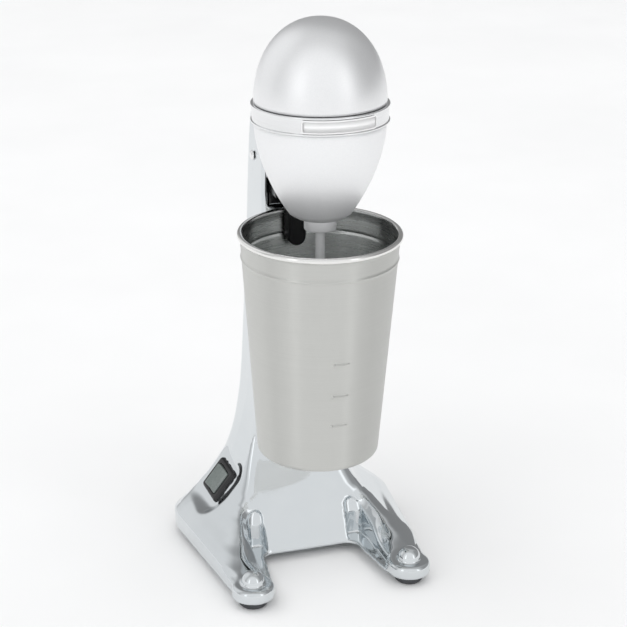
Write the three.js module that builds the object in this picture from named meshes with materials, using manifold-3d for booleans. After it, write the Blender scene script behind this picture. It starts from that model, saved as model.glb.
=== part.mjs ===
// Bar drinks mixer: a chromed cast stand with two legs that reach forward, a tilting egg-shaped
// motor head on a side pin, a black cup hanger, a direct-drive spindle and a tall steel cup.
//
// Millimetres, +Z up. Inside the model the spindle axis is X = Y = 0, -Y is the front, and the
// floor is Z = 0. The finished group is moved along Y so that the origin is the centre of the
// whole object's footprint.

import * as THREE from 'three';
import { mergeVertices } from 'three/addons/utils/BufferGeometryUtils.js';
import Module from 'manifold-3d';

// ---------------------------------------------------------------------------------------------
// Driving dimensions
// ---------------------------------------------------------------------------------------------

const GAP = 0.35;                 // clearance between pieces that meet
const FOOTPRINT_CENTRE_Y = 28.25; // middle of the whole object along Y, from the spindle axis

// Stand
const CASTING_BOTTOM = 5;
const COLUMN_HALF_WIDTH = 17;
const COLUMN_FRONT = 50;
const COLUMN_TOP = 262.5;
const WIDEST_STATION = 70;        // the Y where the flare widths below are taken
const WALL = 3.6;

// Flare half width, front edge and rear edge against height, as [height, value] knots. The taper
// is how much each side narrows per mm ahead of the widest station.
const FLARE = [[5, 66], [14, 66], [18, 62.4], [24, 54.5], [34, 42.4], [50, 32.8], [70, 26],
  [95, 21.3], [125, 19.4], [165, 17.7], [200, 17], [262.5, 17]];
const SIDE_TAPER = [[5, 0.107], [14, 0.107], [24, 0.15], [34, 0.15], [50, 0.12], [70, 0.1],
  [110, 0.03], [150, 0], [262.5, 0]];
const FRONT = [[5, -20], [12, -20], [14.5, -12], [16.5, -5], [18.8, 1.5], [21.2, 7.7], [24.2, 12.8],
  [27, 19], [29.8, 26], [32.6, 32], [37, 37.5], [43, 41], [52, 44.5], [65, 48], [90, 50],
  [262.5, 50]];
const REAR = [[5, 98], [14, 98.6], [20, 99], [34, 97], [60, 94.6], [120, 94.4], [190, 90.4],
  [235, 84.5], [256, 79.5], [262.5, 73]];
const REAR_CORNER = [[5, 25], [14, 25], [34, 18], [60, 16], [100, 10], [262.5, 8]];
const FRONT_CORNER = [[5, 9], [20, 5], [40, 3.5], [90, 4], [262.5, 4]];

// Front face of the skirt between the legs: Y against height
const SKIRT_FRONT = [[5, 20.8], [14, 23.6], [18, 25.2], [23, 28], [29.6, 33.5], [36, 37]];

// Inner face of each leg. The foot of the leg is thicker, and makes a ledge. Above the leg's inner
// edge the face slopes outwards to the crest. All against Y, as [Y, value] knots.
const LEG_FOOT_X = [[-45, 36.5], [-24, 33.6], [0, 30.3], [13, 28.6]];
const LEG_LEDGE_Z = [[-13, 11.2], [1, 9.8], [14, 7]];
const LEG_INNER_X = [[-13, 36.4], [15, 36.5], [25, 35.4], [38, 32]];
const LEG_INNER_Z = [[-13, 11.9], [-4, 12.2], [8, 15.8], [21, 19.7], [30, 26.2], [37, 33.5]];
const LEG_SLOPE = [[-13, 1.6], [2, 1.55], [8, 1.3], [15, 0.8], [22, 0.6], [30, 0.85], [38, 1.2]];
const POCKET = { x: 30.2, y: 21, halfWidth: 6, halfDepth: 8.5, floor: 7, top: 29.5 };

// Rest for the back of the cup's bottom: rings of [height, half width, reach from REST_Y]
const REST_Y = 54;
const REST_RINGS = [[55, 11, 6], [61, 13.5, 17], [67, 15.5, 26.5], [null, 16, 28]];

// Toes and feet
const TOE_X = 46.2;
const TOE_Y = -22.1;
const TOE_RADIUS = 11.9;
const TOE_TOP = 12.6;
const BALL_RADIUS = 6.4;
const BALL_Z = 14;
const FOOT_RADIUS = 8;
const REAR_FOOT = [49, 82];
const CORD_HEIGHT = 17;

// Tilt pin
const PIVOT_Y = 68;
const PIVOT_Z = 232;
const PIN_RADIUS = 2;
const PIN_HEAD_RADIUS = 2.8;
const FORK_HALF_GAP = 14;
const FORK_FLOOR = 207;
const KNUCKLE_RADIUS = 10;
const KNUCKLE_HALF_WIDTH = 12.4;

// Head
const BAND_BOTTOM = 267.5;
const BAND_TOP = 277.2;
const BAND_RADIUS = 36.1;
const SHELL_JOINT = 272.2;
const DOME_RADIUS = 35.2;
const DOME_HEIGHT = 44.4;
const DOME_POWER = 2.12;
const NOSE_RADIUS = 35.1;
const NOSE_HEIGHT = 66.8;
const NOSE_POWERS = [1.75, 1.29];
const NOSE_BOTTOM = 214.6;
const NOSE_FLAT = 12.6;
const SHELL_WALL = 2.2;
const COLLAR_RADIUS = 8.7;
const COLLAR_BOTTOM = 207.5;

// Motor and drive
const SHAFT_RADIUS = 3;
const BORE = SHAFT_RADIUS + GAP;
const BEARING_RADIUS = 8;
const SPINDLE_RADIUS = 2.5;
const AGITATOR_Z = 90.5;
const AGITATOR_RADIUS = 11.5;

// Cup
const CUP_BOTTOM_Y = 3.8;
const CUP_BOTTOM_Z = 78.1;
const CUP_HEIGHT = 126.6;         // from the underside to the centre of the rolled rim
const CUP_LEAN = Math.atan(CUP_BOTTOM_Y / CUP_HEIGHT);
const CUP_BOTTOM_RADIUS = 33.8;
const CUP_CORNER = 3;
const CUP_WALL_RADIUS = 43.3;     // outside of the wall just under the rim
const CUP_WALL = 0.9;
const CUP_BEAD_DROP = 12.5;       // swaged line below the rim
const RIM_RADIUS = 44.8;
const RIM_ROLL = 1.6;

// Switch, on the left flank of the flare
const SWITCH_CENTRE = [-40.6, 67, 35];
const SWITCH_SLOPE = 56;          // degrees that the flank falls below the horizontal
const SWITCH_PITCH = 12;          // degrees that the switch faces forward
const SWITCH_TURN = -6;           // degrees that it is turned on the flank
const BEZEL = [21.5, 20];         // along the slope, along Y
const ROCKER = [14.6, 11.4];
const ROCKER_ANGLE = 8;           // degrees each way from level

// ---------------------------------------------------------------------------------------------
// Materials
// ---------------------------------------------------------------------------------------------

const finish = (color, roughness, metalness) =>
  new THREE.MeshStandardMaterial({ color, roughness, metalness });

const CHROME = finish(0xdfe4e7, 0.06, 1);
const SATIN_SILVER = finish(0xc9cccf, 0.38, 0.9);
const POLISHED = finish(0xd8dadc, 0.2, 1);
const STEEL = finish(0xc9c8c2, 0.28, 1);
const BLACK_PLASTIC = finish(0x141517, 0.25, 0);
const ROCKER_PLASTIC = finish(0x5c6664, 0.4, 0);
const RUBBER = finish(0x50555a, 0.85, 0);
const PALE_PLATE = finish(0xf0f0ee, 0.35, 0);
const IRON = finish(0x6d7073, 0.6, 0.8);
const COPPER = finish(0xb06a38, 0.35, 1);
const CARBON = finish(0x2b2b2c, 0.8, 0);
const WHITE_PLASTIC = finish(0xe6e4dc, 0.5, 0);

// ---------------------------------------------------------------------------------------------
// Geometry helpers
// ---------------------------------------------------------------------------------------------

const degrees = THREE.MathUtils.degToRad;

// Smooth value between knots of a [height, value] list, without overshoot.
function along(knots, height) {
  const last = knots.length - 1;
  if (height <= knots[0][0]) return knots[0][1];
  if (height >= knots[last][0]) return knots[last][1];
  const slopes = knots.map((knot, i) => {
    if (i === 0 || i === last) return 0;
    const before = (knot[1] - knots[i - 1][1]) / (knot[0] - knots[i - 1][0]);
    const after = (knots[i + 1][1] - knot[1]) / (knots[i + 1][0] - knot[0]);
    return before * after <= 0 ? 0 : (2 * before * after) / (before + after);
  });
  const i = knots.findIndex((knot) => knot[0] > height) - 1;
  const span = knots[i + 1][0] - knots[i][0];
  const t = (height - knots[i][0]) / span;
  const rise = knots[i + 1][1] - knots[i][1];
  const startSlope = slopes[i] * span;
  const endSlope = slopes[i + 1] * span;
  return knots[i][1] + t * startSlope
    + t * t * (3 * rise - 2 * startSlope - endSlope)
    + t * t * t * (startSlope + endSlope - 2 * rise);
}

// Turned piece about Z. The outline is [radius, height] points, anticlockwise, and closes on
// itself unless it starts and ends on the axis.
function turned(outline, segments = 32) {
  const points = outline.map(([radius, height]) => new THREE.Vector2(radius, height));
  const onAxis = outline[0][0] === 0 && outline[outline.length - 1][0] === 0;
  if (!onAxis) points.push(points[0].clone());
  return new THREE.LatheGeometry(points, segments).rotateX(Math.PI / 2);
}

const disc = (radius, bottom, top, segments = 24) =>
  turned([[0, bottom], [radius, bottom], [radius, top], [0, top]], segments);

const ring = (inner, outer, bottom, top, segments = 24) =>
  turned([[inner, bottom], [outer, bottom], [outer, top], [inner, top]], segments);

// Rod between two heights, laid along X and moved to a place.
const rodAlongX = (radius, from, to, y, z, segments = 16) =>
  disc(radius, from, to, segments).rotateY(Math.PI / 2).translate(0, y, z);

const block = (x0, x1, y0, y1, z0, z1) =>
  new THREE.BoxGeometry(x1 - x0, y1 - y0, z1 - z0)
    .translate((x0 + x1) / 2, (y0 + y1) / 2, (z0 + z1) / 2);

// Closed skin over rings of points that all run the same way round, with a flat cap at each end.
function loft(rings) {
  const count = rings[0].length;
  const positions = rings.flat().flatMap((p) => [p.x, p.y, p.z]);
  const indices = [];
  for (let i = 0; i + 1 < rings.length; i++) {
    for (let j = 0; j < count; j++) {
      const a = i * count + j;
      const b = i * count + ((j + 1) % count);
      indices.push(a, b, b + count, a, b + count, a + count);
    }
  }
  const addCap = (ringPoints, offset, flip) => {
    const centre = new THREE.Vector3();
    ringPoints.forEach((p) => centre.addScaledVector(p, 1 / count));
    const middle = positions.length / 3;
    positions.push(centre.x, centre.y, centre.z);
    for (let j = 0; j < count; j++) {
      const a = offset + j;
      const b = offset + ((j + 1) % count);
      indices.push(...(flip ? [middle, b, a] : [middle, a, b]));
    }
  };
  addCap(rings[0], 0, true);
  addCap(rings[rings.length - 1], (rings.length - 1) * count, false);
  const geometry = new THREE.BufferGeometry();
  geometry.setAttribute('position', new THREE.Float32BufferAttribute(positions, 3));
  geometry.setIndex(indices);
  return geometry;
}

// Extrudes a drawn outline along X, between two X values. The outline is [y, z] points.
function plateAlongX(outline, x0, x1) {
  const shape = new THREE.Shape(outline.map(([y, z]) => new THREE.Vector2(y, z)));
  const solid = new THREE.ExtrudeGeometry(shape, { depth: x1 - x0, bevelEnabled: false });
  const axes = new THREE.Matrix4().makeBasis(
    new THREE.Vector3(0, 1, 0), new THREE.Vector3(0, 0, 1), new THREE.Vector3(1, 0, 0));
  return solid.applyMatrix4(axes).translate(x0, 0, 0);
}

// Extrudes an [x, y] outline upwards between two heights.
function plateUp(outline, bottom, top) {
  const shape = new THREE.Shape(outline.map(([x, y]) => new THREE.Vector2(x, y)));
  return new THREE.ExtrudeGeometry(shape, { depth: top - bottom, bevelEnabled: false })
    .translate(0, 0, bottom);
}

// Points on a circle's arc, as [x, y] pairs about a centre.
function arc(cx, cy, radius, fromDegrees, toDegrees, steps) {
  return Array.from({ length: steps + 1 }, (_, i) => {
    const angle = degrees(fromDegrees + ((toDegrees - fromDegrees) * i) / steps);
    return [cx + radius * Math.cos(angle), cy + radius * Math.sin(angle)];
  });
}

// ---------------------------------------------------------------------------------------------
// Boolean joins and cuts
// ---------------------------------------------------------------------------------------------

const wasm = await Module();
wasm.setup();

function toSolid(geometry) {
  const bare = geometry.clone();
  bare.deleteAttribute('normal');
  bare.deleteAttribute('uv');
  const merged = mergeVertices(bare, 1e-4);
  const index = merged.index.array;
  const triVerts = [];
  for (let i = 0; i < index.length; i += 3) {
    const [a, b, c] = [index[i], index[i + 1], index[i + 2]];
    if (a !== b && b !== c && c !== a) triVerts.push(a, b, c);
  }
  const vertProperties = new Float32Array(merged.attributes.position.array);
  return new wasm.Manifold(new wasm.Mesh({
    numProp: 3, vertProperties, triVerts: new Uint32Array(triVerts),
  }));
}

function toGeometry(solid) {
  const mesh = solid.getMesh();
  const geometry = new THREE.BufferGeometry();
  geometry.setAttribute('position', new THREE.BufferAttribute(mesh.vertProperties, 3));
  geometry.setIndex(new THREE.BufferAttribute(mesh.triVerts, 1));
  return geometry;
}

// One geometry from a body, what is joined to it, and what is cut from the result.
function carve(body, { join = [], cut = [] }) {
  let solid = toSolid(body);
  join.forEach((piece) => { solid = solid.add(toSolid(piece)); });
  cut.forEach((piece) => { solid = solid.subtract(toSolid(piece)); });
  return toGeometry(solid);
}

// ---------------------------------------------------------------------------------------------
// Assembly tree
// ---------------------------------------------------------------------------------------------

const mixer = new THREE.Group();
const assembly = new THREE.Group();
assembly.position.y = -FOOTPRINT_CENTRE_Y;
mixer.add(assembly);

function add(name, geometry, material, parent = assembly) {
  const mesh = new THREE.Mesh(geometry, material);
  mesh.name = name;
  parent.add(mesh);
  return mesh;
}

// ---------------------------------------------------------------------------------------------
// Stand casting
// ---------------------------------------------------------------------------------------------

// Outline of the flare at one height: a rounded trapezoid, drawn in by `inset` all round.
function flareRing(z, inset = 0, frontLimit = -Infinity) {
  const halfWidth = along(FLARE, z);
  const front = Math.max(along(FRONT, z), frontLimit) + inset;
  const rear = along(REAR, z) - inset;
  const taper = along(SIDE_TAPER, z);
  const widthAt = (y) => halfWidth + taper * Math.min(y - WIDEST_STATION, 0) - inset;
  const rearRadius = Math.max(along(REAR_CORNER, z) - inset, 2);
  const frontRadius = Math.max(along(FRONT_CORNER, z) - inset / 2, 1);
  const rearX = widthAt(rear - rearRadius) - rearRadius;
  const frontX = widthAt(front + frontRadius) - frontRadius;
  const side = (points, mirror) => points.map(([x, y]) => new THREE.Vector3(mirror * x, y, z));
  const rightFront = arc(frontX, front + frontRadius, frontRadius, -90, 0, 4);
  const rightRear = arc(rearX, rear - rearRadius, rearRadius, 0, 90, 6);
  const right = [...side(rightFront, 1), ...side(rightRear, 1)];
  const left = [...side(rightFront, -1), ...side(rightRear, -1)].reverse();
  return [...right, ...left];
}

const FLARE_LEVELS = [5, 14, 16, 18, 20, 21.5, 23, 25, 27, 29.5, 33, 38, 44, 52, 62, 76, 95, 125,
  190, 235, 252, 257];
const CROWN_LEVELS = [[259.5, 0.6], [261.5, 1.8], [COLUMN_TOP, 4.2]];

function flareBody() {
  const rings = FLARE_LEVELS.map((z) => flareRing(z));
  CROWN_LEVELS.forEach(([z, inset]) => rings.push(flareRing(z, inset)));
  return loft(rings);
}

// Height of the plane on which the leaning cup stands, at a given Y.
const seatHeight = (y) => CUP_BOTTOM_Z - GAP + (y - CUP_BOTTOM_Y) * Math.tan(CUP_LEAN);

function cupRest() {
  return loft(REST_RINGS.map(([level, halfWidth, reach]) =>
    arc(0, 0, 1, 0, 345, 23).map(([x, y]) => {
      const worldY = REST_Y + reach * y;
      return new THREE.Vector3(halfWidth * x, worldY, level ?? seatHeight(worldY));
    })));
}

// Round pad over the front foot, with a ball on it.
function toe(side) {
  const ball = [5, 30, 55, 78].map((angle) => [
    BALL_RADIUS * Math.cos(degrees(angle)), BALL_Z + BALL_RADIUS * Math.sin(degrees(angle))]);
  return turned([[0, CASTING_BOTTOM], [TOE_RADIUS, CASTING_BOTTOM], [TOE_RADIUS, TOE_TOP - 2.4],
    [TOE_RADIUS - 0.8, TOE_TOP - 0.7], [TOE_RADIUS - 2.6, TOE_TOP], [BALL_RADIUS - 0.2, TOE_TOP],
    ...ball, [0, BALL_Z + BALL_RADIUS]], 24).translate(side * TOE_X, TOE_Y, 0);
}

// One level of the open bay between the legs: the right side's [x, y, z] points from the mouth to
// the back, then the left side's.
function bayRing(right) {
  const left = right.map(([x, y, z]) => [-x, y, z]).reverse();
  return [...right, ...left].map(([x, y, z]) => new THREE.Vector3(x, y, z));
}

// The bay between the feet of the legs, up to the ledges.
function lowerBayCut() {
  return loft([CASTING_BOTTOM - 2, 9, 14, 18, 23].map((z) => {
    const lean = Math.max(z - CASTING_BOTTOM, 0) * 0.2;
    const back = along(SKIRT_FRONT, z);
    return bayRing([...[-45, -24, 0, 13].map((y) => [along(LEG_FOOT_X, y) + lean, y, z]),
      [27.4 + lean, 17, z], [24.5 + lean, Math.max(back, 19), z]]);
  }));
}

// The bay above the ledges, with the sloped inner faces of the legs.
function upperBayCut() {
  const stations = [-45, -20, -8, 0, 8, 15, 21];
  return loft([null, 13, 15, 17.5, 20, 23, 26, 29.6, 33, 36].map((level) => {
    const point = (y) => {
      const z = level ?? along(LEG_LEDGE_Z, y);
      const slope = along(LEG_SLOPE, y) * Math.max(z - along(LEG_INNER_Z, y), 0);
      return [along(LEG_INNER_X, y) + slope, y, z];
    };
    const back = along(SKIRT_FRONT, level ?? 9);
    return bayRing([...stations.map(point), point(back)]);
  }));
}

// Groove in each inner corner, where a leg meets the skirt.
function pocketCut(side) {
  const { x, y, halfWidth, halfDepth, floor, top } = POCKET;
  const rings = [[floor, 1], [top - 6, 1], [top - 3, 0.88], [top - 1, 0.6], [top, 0.25]];
  return loft(rings.map(([z, share]) => arc(0, 0, 1, 0, 342, 19).map(([u, v]) =>
    new THREE.Vector3(side * x + halfWidth * share * u, y + halfDepth * share * v, z))));
}

// Hollow inside of the stand: the flare drawn in by the wall, and a wire channel up the column.
function hollowCut() {
  const levels = [[CASTING_BOTTOM - 1, 6.5], [9, 6.5], [14, 7], [20, 9], [27, 8], [36, 6.5],
    [48, 5.5], [60, 5]];
  return loft(levels.map(([z, inset]) => flareRing(z, inset, 37).map((p) => {
    p.z = z - (z > 12 ? WALL : 0);
    return p;
  })));
}

const BOSSES = [[34, 50, 35], [-34, 50, 35], [22, 80, 58], [-22, 80, 58]];   // x, y, top

const switchFrame = new THREE.Matrix4().makeRotationY(-degrees(SWITCH_SLOPE))
  .multiply(new THREE.Matrix4().makeRotationX(degrees(SWITCH_PITCH)))
  .multiply(new THREE.Matrix4().makeRotationZ(degrees(SWITCH_TURN)))
  .setPosition(...SWITCH_CENTRE);

const switchCut = (length, width, bottom, top) =>
  block(-length / 2, length / 2, -width / 2, width / 2, bottom, top).applyMatrix4(switchFrame);

function standCasting() {
  const bosses = BOSSES.map(([x, y, top]) => disc(4, 8.2, top, 12).translate(x, y, 0));
  const bossHoles = BOSSES.map(([x, y]) => disc(1.9, 6, 20, 10).translate(x, y, 0));
  const toeHoles = [-1, 1].map((side) =>
    disc(2.9, 3, 12, 12).translate(side * TOE_X, TOE_Y, 0));
  const outside = carve(flareBody(), {
    cut: [lowerBayCut(), upperBayCut(), pocketCut(-1), pocketCut(1)],
  });
  const hollow = carve(carve(outside, { join: [cupRest(), toe(-1), toe(1)] }), {
    cut: [hollowCut(), block(-13, 13, 54, 84, 30, FORK_FLOOR + 1)],
  });
  return carve(hollow, {
    join: bosses,
    cut: [
      ...bossHoles, ...toeHoles,
      block(-FORK_HALF_GAP, FORK_HALF_GAP, 40, PIVOT_Y + KNUCKLE_RADIUS + 1, FORK_FLOOR,
        COLUMN_TOP + 5),
      rodAlongX(PIN_RADIUS + GAP + 0.1, -30, 30, PIVOT_Y, PIVOT_Z),
      switchCut(BEZEL[0] + 2 * GAP, BEZEL[1] + 2 * GAP, -0.6, 30),
      switchCut(18.2, 14.6, -12, 5),
      disc(4.6, 85, 110, 16).rotateX(-Math.PI / 2).translate(0, 0, CORD_HEIGHT),
    ],
  });
}

add('stand_casting', standCasting(), CHROME);

// Flat cover that closes the hollow underneath, screwed to the bosses.
function bottomCover() {
  const outline = flareRing(CASTING_BOTTOM, 6.5 + GAP, 37).map((p) => [p.x, p.y]);
  const holes = BOSSES.map(([x, y]) => disc(2, 4, 10, 12).translate(x, y, 0));
  const stems = [-1, 1].map((side) =>
    disc(2.9, 4, 10, 12).translate(side * REAR_FOOT[0], REAR_FOOT[1], 0));
  return carve(plateUp(outline, 5.6, 7.6), { cut: [...holes, ...stems] });
}

add('bottom_cover', bottomCover(), BLACK_PLASTIC);

BOSSES.forEach(([x, y], i) => {
  const screw = turned([[0, 3.6], [2.6, 3.6], [3.2, 5.2], [1.5, 5.2], [1.5, 16], [0, 16]], 10);
  add(`cover_screw_${i + 1}`, screw.translate(x, y, 0), IRON);
});

function rubberFoot() {
  const seat = CASTING_BOTTOM - GAP;
  return turned([[0, 0], [FOOT_RADIUS - 1, 0], [FOOT_RADIUS, 1], [FOOT_RADIUS - 0.6, seat],
    [2.4, seat], [2.4, seat + 5], [0, seat + 5]], 20);
}

[['left', -1], ['right', 1]].forEach(([name, side]) => {
  add(`front_foot_${name}`, rubberFoot(), RUBBER)
    .position.set(side * TOE_X, TOE_Y, 0);
  add(`rear_foot_${name}`, rubberFoot(), RUBBER)
    .position.set(side * REAR_FOOT[0], REAR_FOOT[1], 0);
});

// Sleeve where the mains lead would enter at the heel.
add('cord_inlet_bush', turned([[2.6, 0], [4.1, 0], [4.1, 9], [6.4, 9], [6.4, 11], [2.6, 11]], 16)
  .rotateX(-Math.PI / 2), BLACK_PLASTIC).position.set(0, 90.3, CORD_HEIGHT);

add('terminal_block', block(-9, 9, 52, 62, 8.6, 15), WHITE_PLASTIC);
add('suppression_capacitor', disc(5, -8, 8, 16).rotateX(Math.PI / 2), BLACK_PLASTIC)
  .position.set(20, 66, 14.5);

// ---------------------------------------------------------------------------------------------
// Power switch
// ---------------------------------------------------------------------------------------------

const switchGroup = new THREE.Group();
switchGroup.applyMatrix4(switchFrame);
assembly.add(switchGroup);

function switchBezel() {
  const frame = block(-BEZEL[0] / 2, BEZEL[0] / 2, -BEZEL[1] / 2, BEZEL[1] / 2, -0.2, 1.8);
  const window = block(-ROCKER[0] / 2 - 0.5, ROCKER[0] / 2 + 0.5,
    -ROCKER[1] / 2 - 0.5, ROCKER[1] / 2 + 0.5, -2, 4);
  return carve(frame, { cut: [window] });
}

// Shallow V across Y, so that one half is flush while the other stands proud.
function switchRocker() {
  const half = ROCKER[1] / 2;
  const rise = half * Math.tan(degrees(ROCKER_ANGLE));
  const outline = [[-half, 2.6 + rise], [-half + 0.4, 0.4], [-3, -0.9], [3, -0.9],
    [half - 0.4, 0.4], [half, 2.6 + rise], [0, 2.6]];
  return plateAlongX(outline, -ROCKER[0] / 2, ROCKER[0] / 2).rotateX(degrees(ROCKER_ANGLE));
}

add('switch_bezel', switchBezel(), BLACK_PLASTIC, switchGroup);
add('switch_rocker', switchRocker(), ROCKER_PLASTIC, switchGroup);
add('switch_body', block(-8.4, 8.4, -6.6, 6.6, -13, -2.4), BLACK_PLASTIC, switchGroup);

// ---------------------------------------------------------------------------------------------
// Tilt pin
// ---------------------------------------------------------------------------------------------

function hingePin() {
  const start = -COLUMN_HALF_WIDTH - GAP;
  const end = COLUMN_HALF_WIDTH + 1.6;
  const dome = [75, 50, 25].map((angle) => [PIN_HEAD_RADIUS * Math.cos(degrees(angle)),
    start - 0.4 - 1.2 * Math.sin(degrees(angle))]);
  return turned([[0, start - 1.6], ...dome, [PIN_HEAD_RADIUS, start], [PIN_RADIUS, start],
    [PIN_RADIUS, end], [0, end]], 16)
    .rotateY(Math.PI / 2).translate(0, PIVOT_Y, PIVOT_Z);
}

add('hinge_pin', hingePin(), POLISHED);
add('hinge_pin_clip', ring(PIN_RADIUS + GAP, 4.4, COLUMN_HALF_WIDTH + GAP,
  COLUMN_HALF_WIDTH + 1.2, 16).rotateY(Math.PI / 2).translate(0, PIVOT_Y, PIVOT_Z), STEEL);

[['left', -1], ['right', 1]].forEach(([name, side]) => {
  const washer = ring(PIN_RADIUS + GAP, 7, -0.45, 0.45, 16).rotateY(Math.PI / 2);
  add(`hinge_washer_${name}`, washer, WHITE_PLASTIC)
    .position.set(side * (KNUCKLE_HALF_WIDTH + 0.8), PIVOT_Y, PIVOT_Z);
});

// ---------------------------------------------------------------------------------------------
// Head shells
// ---------------------------------------------------------------------------------------------

const BAND_SEAT = BAND_RADIUS - 1.9;   // radius of the shells under the band

function domeRadius(z) {
  const height = THREE.MathUtils.clamp((z - BAND_TOP) / DOME_HEIGHT, 0, 1);
  return DOME_RADIUS * (1 - height ** DOME_POWER) ** (1 / DOME_POWER);
}

function noseRadius(z) {
  const depth = THREE.MathUtils.clamp((BAND_BOTTOM - z) / NOSE_HEIGHT, 0, 1);
  return NOSE_RADIUS * (1 - depth ** NOSE_POWERS[0]) ** (1 / NOSE_POWERS[1]);
}

function upperShell() {
  const domeTop = BAND_TOP + DOME_HEIGHT;
  const heights = [0.02, 0.25, 0.46, 0.64, 0.78, 0.88, 0.95, 0.985]
    .map((t) => BAND_TOP + DOME_HEIGHT * t);
  const outside = heights.map((z) => [domeRadius(z), z]);
  const inside = heights.slice(1, -1).reverse()
    .map((z) => [domeRadius(z) - SHELL_WALL, z - SHELL_WALL * (z - BAND_TOP) / DOME_HEIGHT]);
  return turned([[BAND_SEAT - SHELL_WALL, SHELL_JOINT + 0.2], [BAND_SEAT, SHELL_JOINT + 0.2],
    [BAND_SEAT, BAND_TOP + 0.4], ...outside, [0, domeTop], [0, domeTop - SHELL_WALL], ...inside,
    [BAND_SEAT - SHELL_WALL, BAND_TOP + 4]], 36);
}

function lowerShell() {
  const heights = [217.5, 222, 228, 236, 246, 257, BAND_BOTTOM - 0.5];
  const outside = heights.map((z) => [noseRadius(z), z]);
  const inside = heights.slice(1, -1).reverse()
    .map((z) => [noseRadius(z) - SHELL_WALL * 1.05, z + 0.5]);
  return turned([[7, NOSE_BOTTOM], [NOSE_FLAT, NOSE_BOTTOM], [15.4, 215.6], ...outside,
    [BAND_SEAT, BAND_BOTTOM - 0.4], [BAND_SEAT, SHELL_JOINT - 0.2],
    [BAND_SEAT - SHELL_WALL, SHELL_JOINT - 0.2], ...inside, [7, 219]], 36);
}

const head = new THREE.Group();
assembly.add(head);

const SHELL_OPENING = block(-5, 5, 15, 40, 224.5, 240);
add('head_lower_shell', carve(lowerShell(), { cut: [SHELL_OPENING] }), SATIN_SILVER, head);
add('head_upper_shell', upperShell(), SATIN_SILVER, head);

// Bright band over the shells' joint, with a raised bead along each edge.
add('head_band', turned([[BAND_SEAT + GAP, BAND_BOTTOM], [BAND_RADIUS + 0.6, BAND_BOTTOM],
  [BAND_RADIUS + 0.6, BAND_BOTTOM + 0.8], [BAND_RADIUS, BAND_BOTTOM + 1.1],
  [BAND_RADIUS, BAND_TOP - 1.1], [BAND_RADIUS + 0.6, BAND_TOP - 0.8],
  [BAND_RADIUS + 0.6, BAND_TOP], [BAND_SEAT + GAP, BAND_TOP]], 36), POLISHED, head);

function nameplate() {
  const inner = BAND_RADIUS + GAP;
  const outline = [...arc(0, 0, inner + 0.7, -122, -55, 10), ...arc(0, 0, inner, -55, -122, 10)];
  return plateUp(outline, BAND_BOTTOM + 1.4, BAND_TOP - 1.4);
}

add('nameplate', nameplate(), PALE_PLATE, head);

// ---------------------------------------------------------------------------------------------
// Head arm, cup hanger and nose collar
// ---------------------------------------------------------------------------------------------

const ARM_BOTTOM = PIVOT_Z - KNUCKLE_RADIUS;
const ARM_SCREW_Z = [228.5, 236];
const HANGER_SCREW_X = [-8, 8];
const HANGER_SCREW_Y = 54;

// Arm from the back of the lower shell to the knuckle on the tilt pin.
function headArm() {
  const knuckle = arc(PIVOT_Y, PIVOT_Z, KNUCKLE_RADIUS, -90, 80, 12);
  const side = [[20, ARM_BOTTOM], ...knuckle, [54, 246], [22, 254]];
  const shellSpace = turned([[0, 200], ...[205, 217.5, 222, 228, 236, 246, 257, 267]
    .map((z) => [noseRadius(Math.max(z, 215)) + 0.5, z]), [0, 267]], 36);
  const screwHoles = ARM_SCREW_Z.map((z) => disc(2.1, 10, 42, 10)
    .rotateX(-Math.PI / 2).translate(0, 0, z));
  const hangerHoles = HANGER_SCREW_X.map((x) =>
    disc(1.9, 215, 230, 10).translate(x, HANGER_SCREW_Y, 0));
  return carve(plateAlongX(side, -KNUCKLE_HALF_WIDTH, KNUCKLE_HALF_WIDTH), {
    cut: [shellSpace, rodAlongX(PIN_RADIUS + GAP + 0.1, -20, 20, PIVOT_Y, PIVOT_Z),
      ...screwHoles, ...hangerHoles],
  });
}

add('head_arm', headArm(), SATIN_SILVER, head);

ARM_SCREW_Z.forEach((z, i) => {
  const start = noseRadius(z) - 6.5;
  const screw = turned([[0, 0], [3, 0], [3, 2], [1.7, 2], [1.7, 14], [0, 14]], 10)
    .rotateX(-Math.PI / 2);
  add(`arm_screw_${i + 1}`, screw, IRON, head).position.set(0, start, z);
});

// Black hanger: a block under the arm, in the fork, with a notch over the cup's rim and a
// tongue that hangs down inside the rim.
const TONGUE_X = -1.2;
const TONGUE_FRONT = 36.4;
const TONGUE_BACK = 40.4;
const TONGUE_END = 186.4;
const NOTCH_TOP = 213.6;
const HANGER_TOP = ARM_BOTTOM - GAP;

// Front face of the tongue is narrower than its back, so it is a loft along Y.
function cupTongue() {
  const stations = [[TONGUE_FRONT, 4.6], [TONGUE_FRONT + 1.2, 5.6], [TONGUE_BACK, 6.8]];
  return loft(stations.map(([y, halfWidth]) => {
    const tipZ = TONGUE_END + (y - TONGUE_FRONT) * 0.3;
    const tip = arc(TONGUE_X, tipZ + halfWidth, halfWidth, -180, 0, 10);
    const top = [[TONGUE_X + halfWidth, HANGER_TOP], [TONGUE_X - halfWidth, HANGER_TOP]];
    return [...tip, ...top].map(([x, z]) => new THREE.Vector3(x, y, z)).reverse();
  }));
}

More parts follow.
